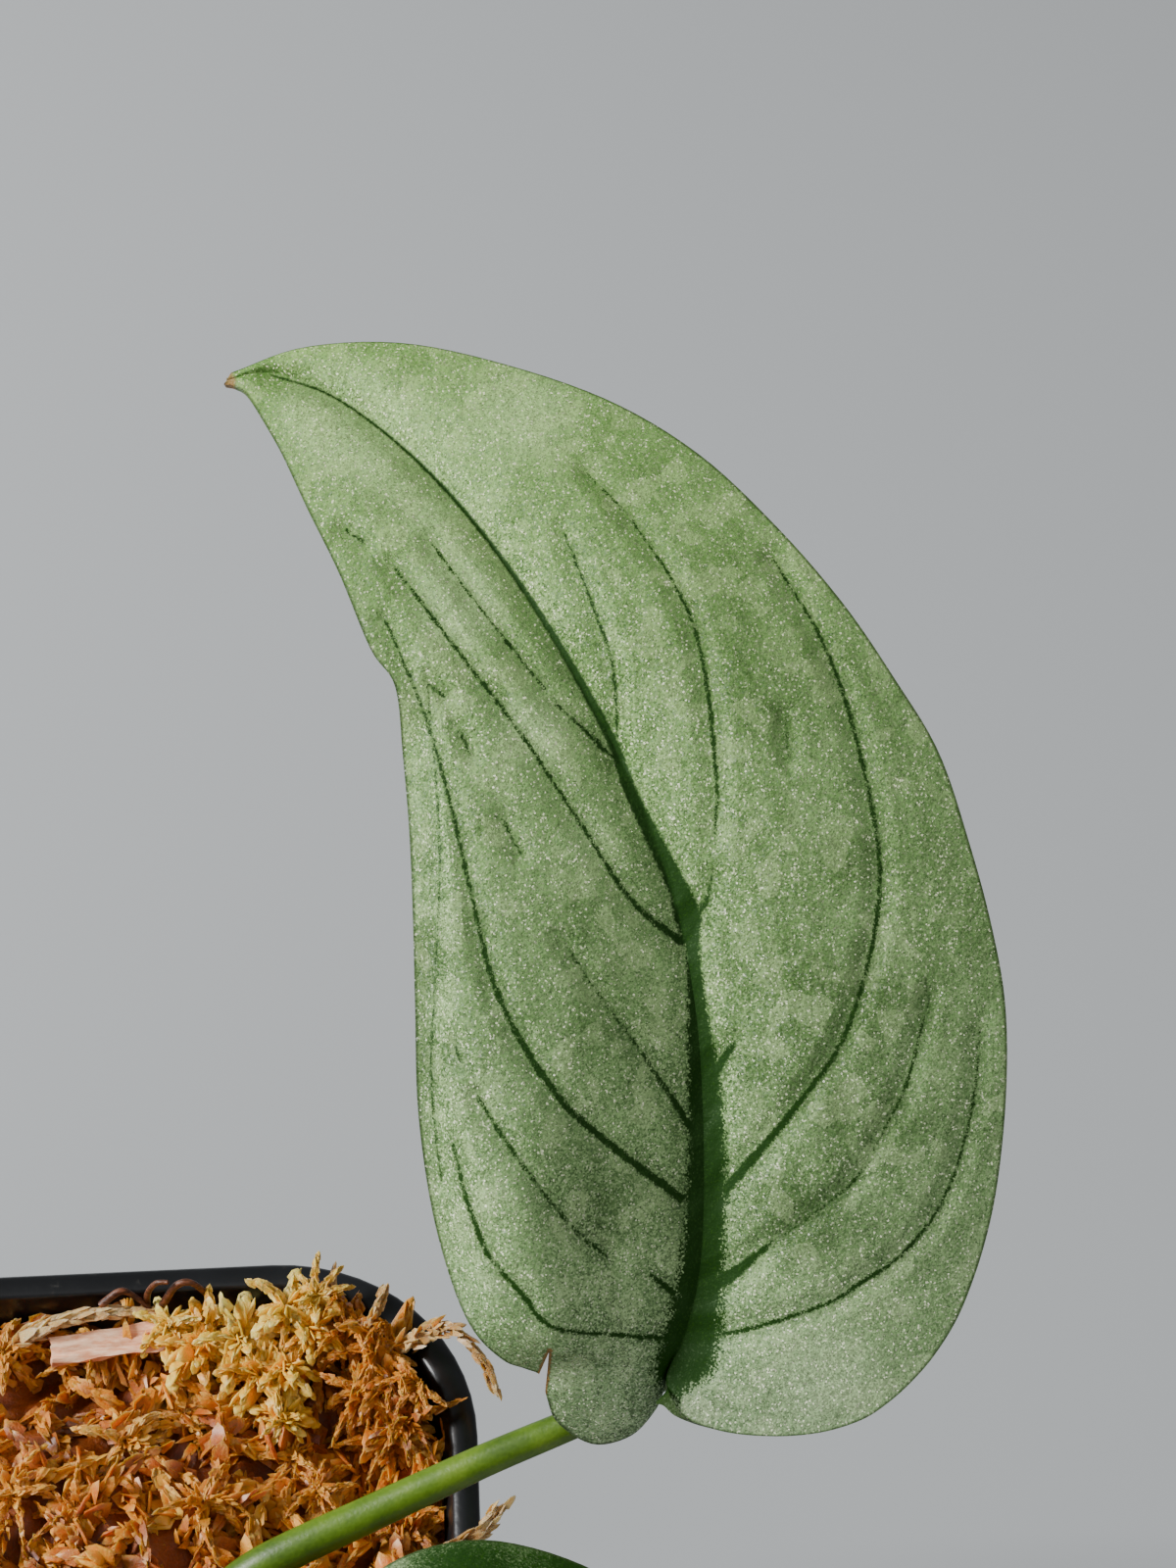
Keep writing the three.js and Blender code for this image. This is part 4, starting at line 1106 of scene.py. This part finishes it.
def silver_finish(name, bare_green):
    """Silver over green: fine bright flakes that leave the midrib, veins and some patches bare. Some of the
    patches are painted shade, and the whitest specks are painted glints.
    """
    leaf = Finish(name, {"Specular IOR Level": 0.2})
    place = leaf.place()
    ragged = leaf.cloud(place, 0.7, detail=4, roughness=0.7)
    clouds = leaf.cloud(place, 6, detail=6, roughness=0.62)
    drift = {"Vector": place, "Scale": BLOCKS_PER_M / 2, "Detail": 3}
    wisps = leaf.node("TexNoise", {}, drift, output="Color")
    cells = leaf.node("TexVoronoi", {}, {"Vector": place, "Scale": FLAKES_PER_M}, output="Color")
    flake = leaf.node("SeparateColor", {}, {"Color": cells}, output="Red")
    other = leaf.node("SeparateColor", {}, {"Color": cells}, output="Green")

    fray = leaf.attribute("fray")
    frayed = leaf.attribute("midrib") + ((ragged - 0.5) * 1.5 + (0.35 - other) * 1.0) * fray
    midrib = frayed.step(0.08, -0.14)
    thin_edge = leaf.attribute("vein") + (ragged - 0.5) * 0.5 + (0.45 - other) * 0.2
    vein = thin_edge.step(0.03, -0.1)
    # Where the patch attribute is positive, the silver is thin or bare and the blade darker green; where it
    # is negative, the silver is thickest. Some of its patches are painted shade.
    thick = leaf.attribute("patch")
    bare = leaf.node("Math", {"operation": "MAXIMUM"}, {0: midrib, 1: vein})
    unsilvered_and_painted_shade = (thick + clouds + other * 0.8).step(2.4, 3.5)
    bare = leaf.node("Math", {"operation": "MAXIMUM"}, {0: bare, 1: unsilvered_and_painted_shade})

    across, along = leaf.attribute("across"), leaf.attribute("along")
    lengthwise = leaf.node("CombineXYZ", {}, {"X": across * 11, "Y": along * 6})
    streaks = leaf.node("TexNoise", {}, {"Vector": lengthwise, "Scale": 1, "Detail": 4, "Roughness": 0.6})
    thin_silver_and_painted_shade = (thick * 0.28 + clouds * 0.6 + streaks * 0.4).step(0.3, 0.85)
    by_vein = leaf.attribute("vein").step(1.0, 0.0) * 0.3 + leaf.attribute("midrib").step(2.4, 0.0) * 0.35
    silver = leaf.mix(thin_silver_and_painted_shade, shade(128, 170, 94), shade(66, 104, 36))
    silver = leaf.mix(thick.step(-0.5, -1.7) * 0.7, silver, shade(190, 228, 152))
    warp = {0: wisps, 1: (BLOCK_WARP * MM,) * 3, 2: place}
    warped = leaf.node("VectorMath", {"operation": "MULTIPLY_ADD"}, warp)
    blocks = leaf.node("TexVoronoi", {}, {"Vector": warped, "Scale": BLOCKS_PER_M}, output="Color")
    block = leaf.node("SeparateColor", {}, {"Color": blocks}, output="Red")
    silver = leaf.mix(block.step(0.55, 1.0) * 0.34, silver, shade(196, 226, 150))
    silver = leaf.mix(block.step(0.4, 0.0) * 0.2, silver, shade(72, 108, 42))
    silver = leaf.mix(by_vein, silver, shade(58, 94, 32))
    silver = leaf.mix(flake.step(0.45, 1.0) * (0.62 - thin_silver_and_painted_shade * 0.3), silver, shade(206, 240, 162))
    silver = leaf.mix(flake.step(0.5, 0.0) * 0.65, silver, shade(40, 68, 30))
    # Painted highlights: the whitest specks are painted glints on the silver, fewer where it is thin.
    silver = leaf.mix(other.step(0.9, 0.98) * (0.7 - thin_silver_and_painted_shade * 0.4), silver, shade(252, 255, 214))
    silver = leaf.node("HueSaturation", {}, {"Saturation": along * 0.4 + 0.7, "Color": silver})
    green = leaf.mix(other.step(0.75, 1.0) * 0.3, bare_green, shade(52, 92, 16))
    colour = leaf.mix(bare, silver, green)
    edge = leaf.attribute("margin").step(0.3, 0.08)
    colour = leaf.mix(edge * 0.75, colour, shade(44, 66, 24))
    brown = leaf.attribute("blemish").step(0.45, 0.75)
    colour = leaf.mix(brown * 0.85, colour, shade(150, 112, 66))
    leaf.feed("Base Color", colour)
    leaf.feed("Roughness", 0.46 - other.step(0.7, 1.0) * 0.2 + bare * 0.25)

    centred = leaf.node("VectorMath", {"operation": "SUBTRACT"}, {0: cells, 1: (0.5, 0.5, 0.5)})
    tipped = leaf.node("VectorMath", {"operation": "SCALE"}, {0: centred, "Scale": (1 - bare) * 0.8})
    true = leaf.node("NewGeometry", {}, {}, output="Normal")
    facet = leaf.node("VectorMath", {"operation": "ADD"}, {0: true, 1: tipped})
    facet = leaf.node("VectorMath", {"operation": "NORMALIZE"}, {0: facet})
    quilted = leaf.attribute("vein").step(0.0, 1.5) * 1.1 + leaf.attribute("midrib").step(-0.6, 1.6) * 1.3
    leaf.feed("Normal", leaf.bump(quilted + clouds * 1.8 + ragged * 0.25, 0.22, Normal=facet))
    return leaf


def underside_finish(name):
    under = Finish(name, {"Specular IOR Level": 0.35})
    place = under.place()
    clouds = under.cloud(place, 6, detail=4)
    vein = under.attribute("vein").step(0.2, -0.1)
    rib = under.attribute("midrib").step(0.3, -0.6)
    pale = under.mix(clouds.step(0.3, 0.8), shade(128, 150, 104), shade(150, 168, 128))
    pale = under.mix(vein * 0.6, pale, shade(96, 122, 66))
    under.feed("Base Color", under.mix(rib * 0.8, pale, shade(140, 160, 84)))
    under.feed("Roughness", 0.55 + clouds * 0.1)
    under.feed("Normal", under.bump(vein + clouds * 0.4, 0.1))
    return under


silver = silver_finish("leaf_silver", shade(20, 56, 0))
underside = underside_finish("leaf_underside")

bm = blade_mesh(
    LARGE_LEAF, LARGE_STATIONS, large_relief, LARGE_MIDRIB, LARGE_VEINS, LARGE_PATCHES_AND_PAINTED_SHADE,
    LARGE_BLEMISHES, **LARGE_GRID, tear=LARGE_TEAR,
)
large_blade = object_of("large_blade", bm, silver, underside)

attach(large_blade, "root")
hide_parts("blade_large")


# Its stalk leaves the stem just over the moss and runs low to the right, round and smooth, with
# a slight swelling below the blade.
LARGE_STALK = {
    "low": 1.5,
    "high": 1.1,
    "route": [
        (-33.4, -18.0, -8.6), (-31.1, -15.6, -8.2), (-27.8, -13.7, -8.0), (-22.2, -11.1, -8.0),
        (-17.6, -8.9, -7.8), (-12.9, -6.7, -7.6), (-7.0, -4.2, -7.5), (-3.4, -2.5, -7.1),
        (-1.1, -0.9, -6.2), (0.4, 0.9, -4.6), (1.1, 3.2, -3.7),
    ],
}
STALK_SHEATH = 0.3
STALK_KNEE = 0.15
STALK_TIP = 0.08  # the share of its length that rounds off


def stalk_radius(stalk):
    def radius(share):
        sheath = STALK_SHEATH * (1 - ease(0, 0.12, share))
        knee = STALK_KNEE * ease(0.78, 0.88, share)
        thick = stalk["low"] + (stalk["high"] - stalk["low"]) * ease(0, 0.8, share) + sheath + knee
        return thick * rounded_end(share, STALK_TIP)
    return radius


to_part = leaf_frame(LARGE_LEAF)
path = [to_part @ (Vector(point) * MM) / MM for point in LARGE_STALK["route"]]
bm = bmesh.new()
tube(bm, path, stalk_radius(LARGE_STALK), steps=110, sides=24)
closed_outward(bm)
large_stalk = object_of("large_stalk", bm, green_stalk)

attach(large_stalk, "root")
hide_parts("petiole_large")


# The second leaf leans out over the front right corner of the pot. It is smaller and younger,
# on a stalk that stands up from the same joint.
SMALL_LEAF = {"heart": (25.4, -16.8, 90), "yaw": -126.9, "tilt": -6, "roll": -6}
SMALL_FORM = {"arch": 9, "length": 52, "lobes": 0.05, "hump": 0.17, "crest": 0.625}
SMALL_STATIONS = [
    (0.0, 0.4, -0.2, -0.7, 0.4, -0.6),
    (0.1, 1.2, -2.5, -4.6, 2.4, -4.0),
    (0.2, 2.2, -7.0, -6.3, 6.5, -5.2),
    (0.3, 3.4, -12.0, -5.0, 10.5, -4.2),
    (0.4, 5.2, -16.3, -0.5, 13.8, -0.6),
    (0.3, 8.5, -18.8, 6.0, 15.8, 5.2),
    (0.1, 13.5, -19.2, 13.0, 16.5, 12.0),
    (0.0, 19.5, -18.0, 20.5, 15.8, 19.5),
    (0.2, 26.0, -15.5, 28.0, 13.8, 27.5),
    (0.8, 33.0, -11.8, 35.5, 10.8, 35.5),
    (1.8, 40.0, -7.3, 42.5, 7.6, 42.8),
    (3.2, 46.0, -1.8, 47.6, 5.8, 47.8),
    (4.6, 51.5, 4.2, 51.6, 5.0, 51.3),
]
SMALL_MIDRIB = [
    (0.0, 0.2, 0.9), (0.2, 3.0, 1.1), (0.3, 8.5, 0.8), (0.1, 15.0, 0.6), (0.1, 24.0, 0.4),
    (0.8, 33.0, 0.25), (1.8, 40.0, 0.16), (4.0, 49.5, 0.1),
]
# The first two patches leave the small blade's lobes bare and dark green: painted shade where the large leaf
# shades them. The third only thins its silver.
SMALL_PATCHES_AND_PAINTED_SHADE = [(-13, -1, 5.5, 2.8), (-18, 7, 5, 2.8), (8, 14, 5, 0.6)]
SMALL_BLEMISHES = [(4.6, 51.5, 0.8)]
SMALL_GRID = {"rows": 70, "columns": 40}
SMALL_STALK = {
    "low": 1.35,
    "high": 1.0,
    "route": [
        (15.6, 0.2, 66.5), (16.6, -1.9, 70.0), (18.6, -6.2, 77.0), (21.6, -11.2, 84.5),
        (25.3, -16.6, 89.0),
    ],
}


def small_relief(y, across, width):
    form = SMALL_FORM
    share = np.abs(across)
    bowed = form["arch"] * (y / form["length"]) ** 2 + form["lobes"] * np.maximum(-y, 0) ** 2
    return form["hump"] * width * np.sin(math.pi / 2 * np.minimum(share / form["crest"], 2)) - bowed


def small_veins():
    """Veins that leave the midrib low down and arch along each half towards the tip."""
    veins = []
    for side in (-1, 1):
        for k in range(4):
            foot = 1.5 + 5.5 * k
            out = (11.5 - 2.2 * k) * (1 if side < 0 else 0.85)
            veins.append([
                (side * 0.4, foot, 0.28),
                (side * out * 0.45, foot + 2.6 + k, 0.2),
                (side * out * 0.86, foot + 8 + k, 0.16),
                (side * out, foot + 15, 0.13),
                (side * out * 0.8 + 0.6, foot + 23 - k, 0.05),
            ])
    return veins


bm = blade_mesh(
    SMALL_LEAF, SMALL_STATIONS, small_relief, SMALL_MIDRIB, small_veins(), SMALL_PATCHES_AND_PAINTED_SHADE,
    SMALL_BLEMISHES, **SMALL_GRID,
)
small_blade = object_of("small_blade", bm, silver, underside)

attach(small_blade, "root")
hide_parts("blade_small")

bm = bmesh.new()
tube(bm, SMALL_STALK["route"], stalk_radius(SMALL_STALK), steps=60, sides=24)
closed_outward(bm)
small_stalk = object_of("small_stalk", bm, green_stalk)

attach(small_stalk, "root")
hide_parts("petiole_small")
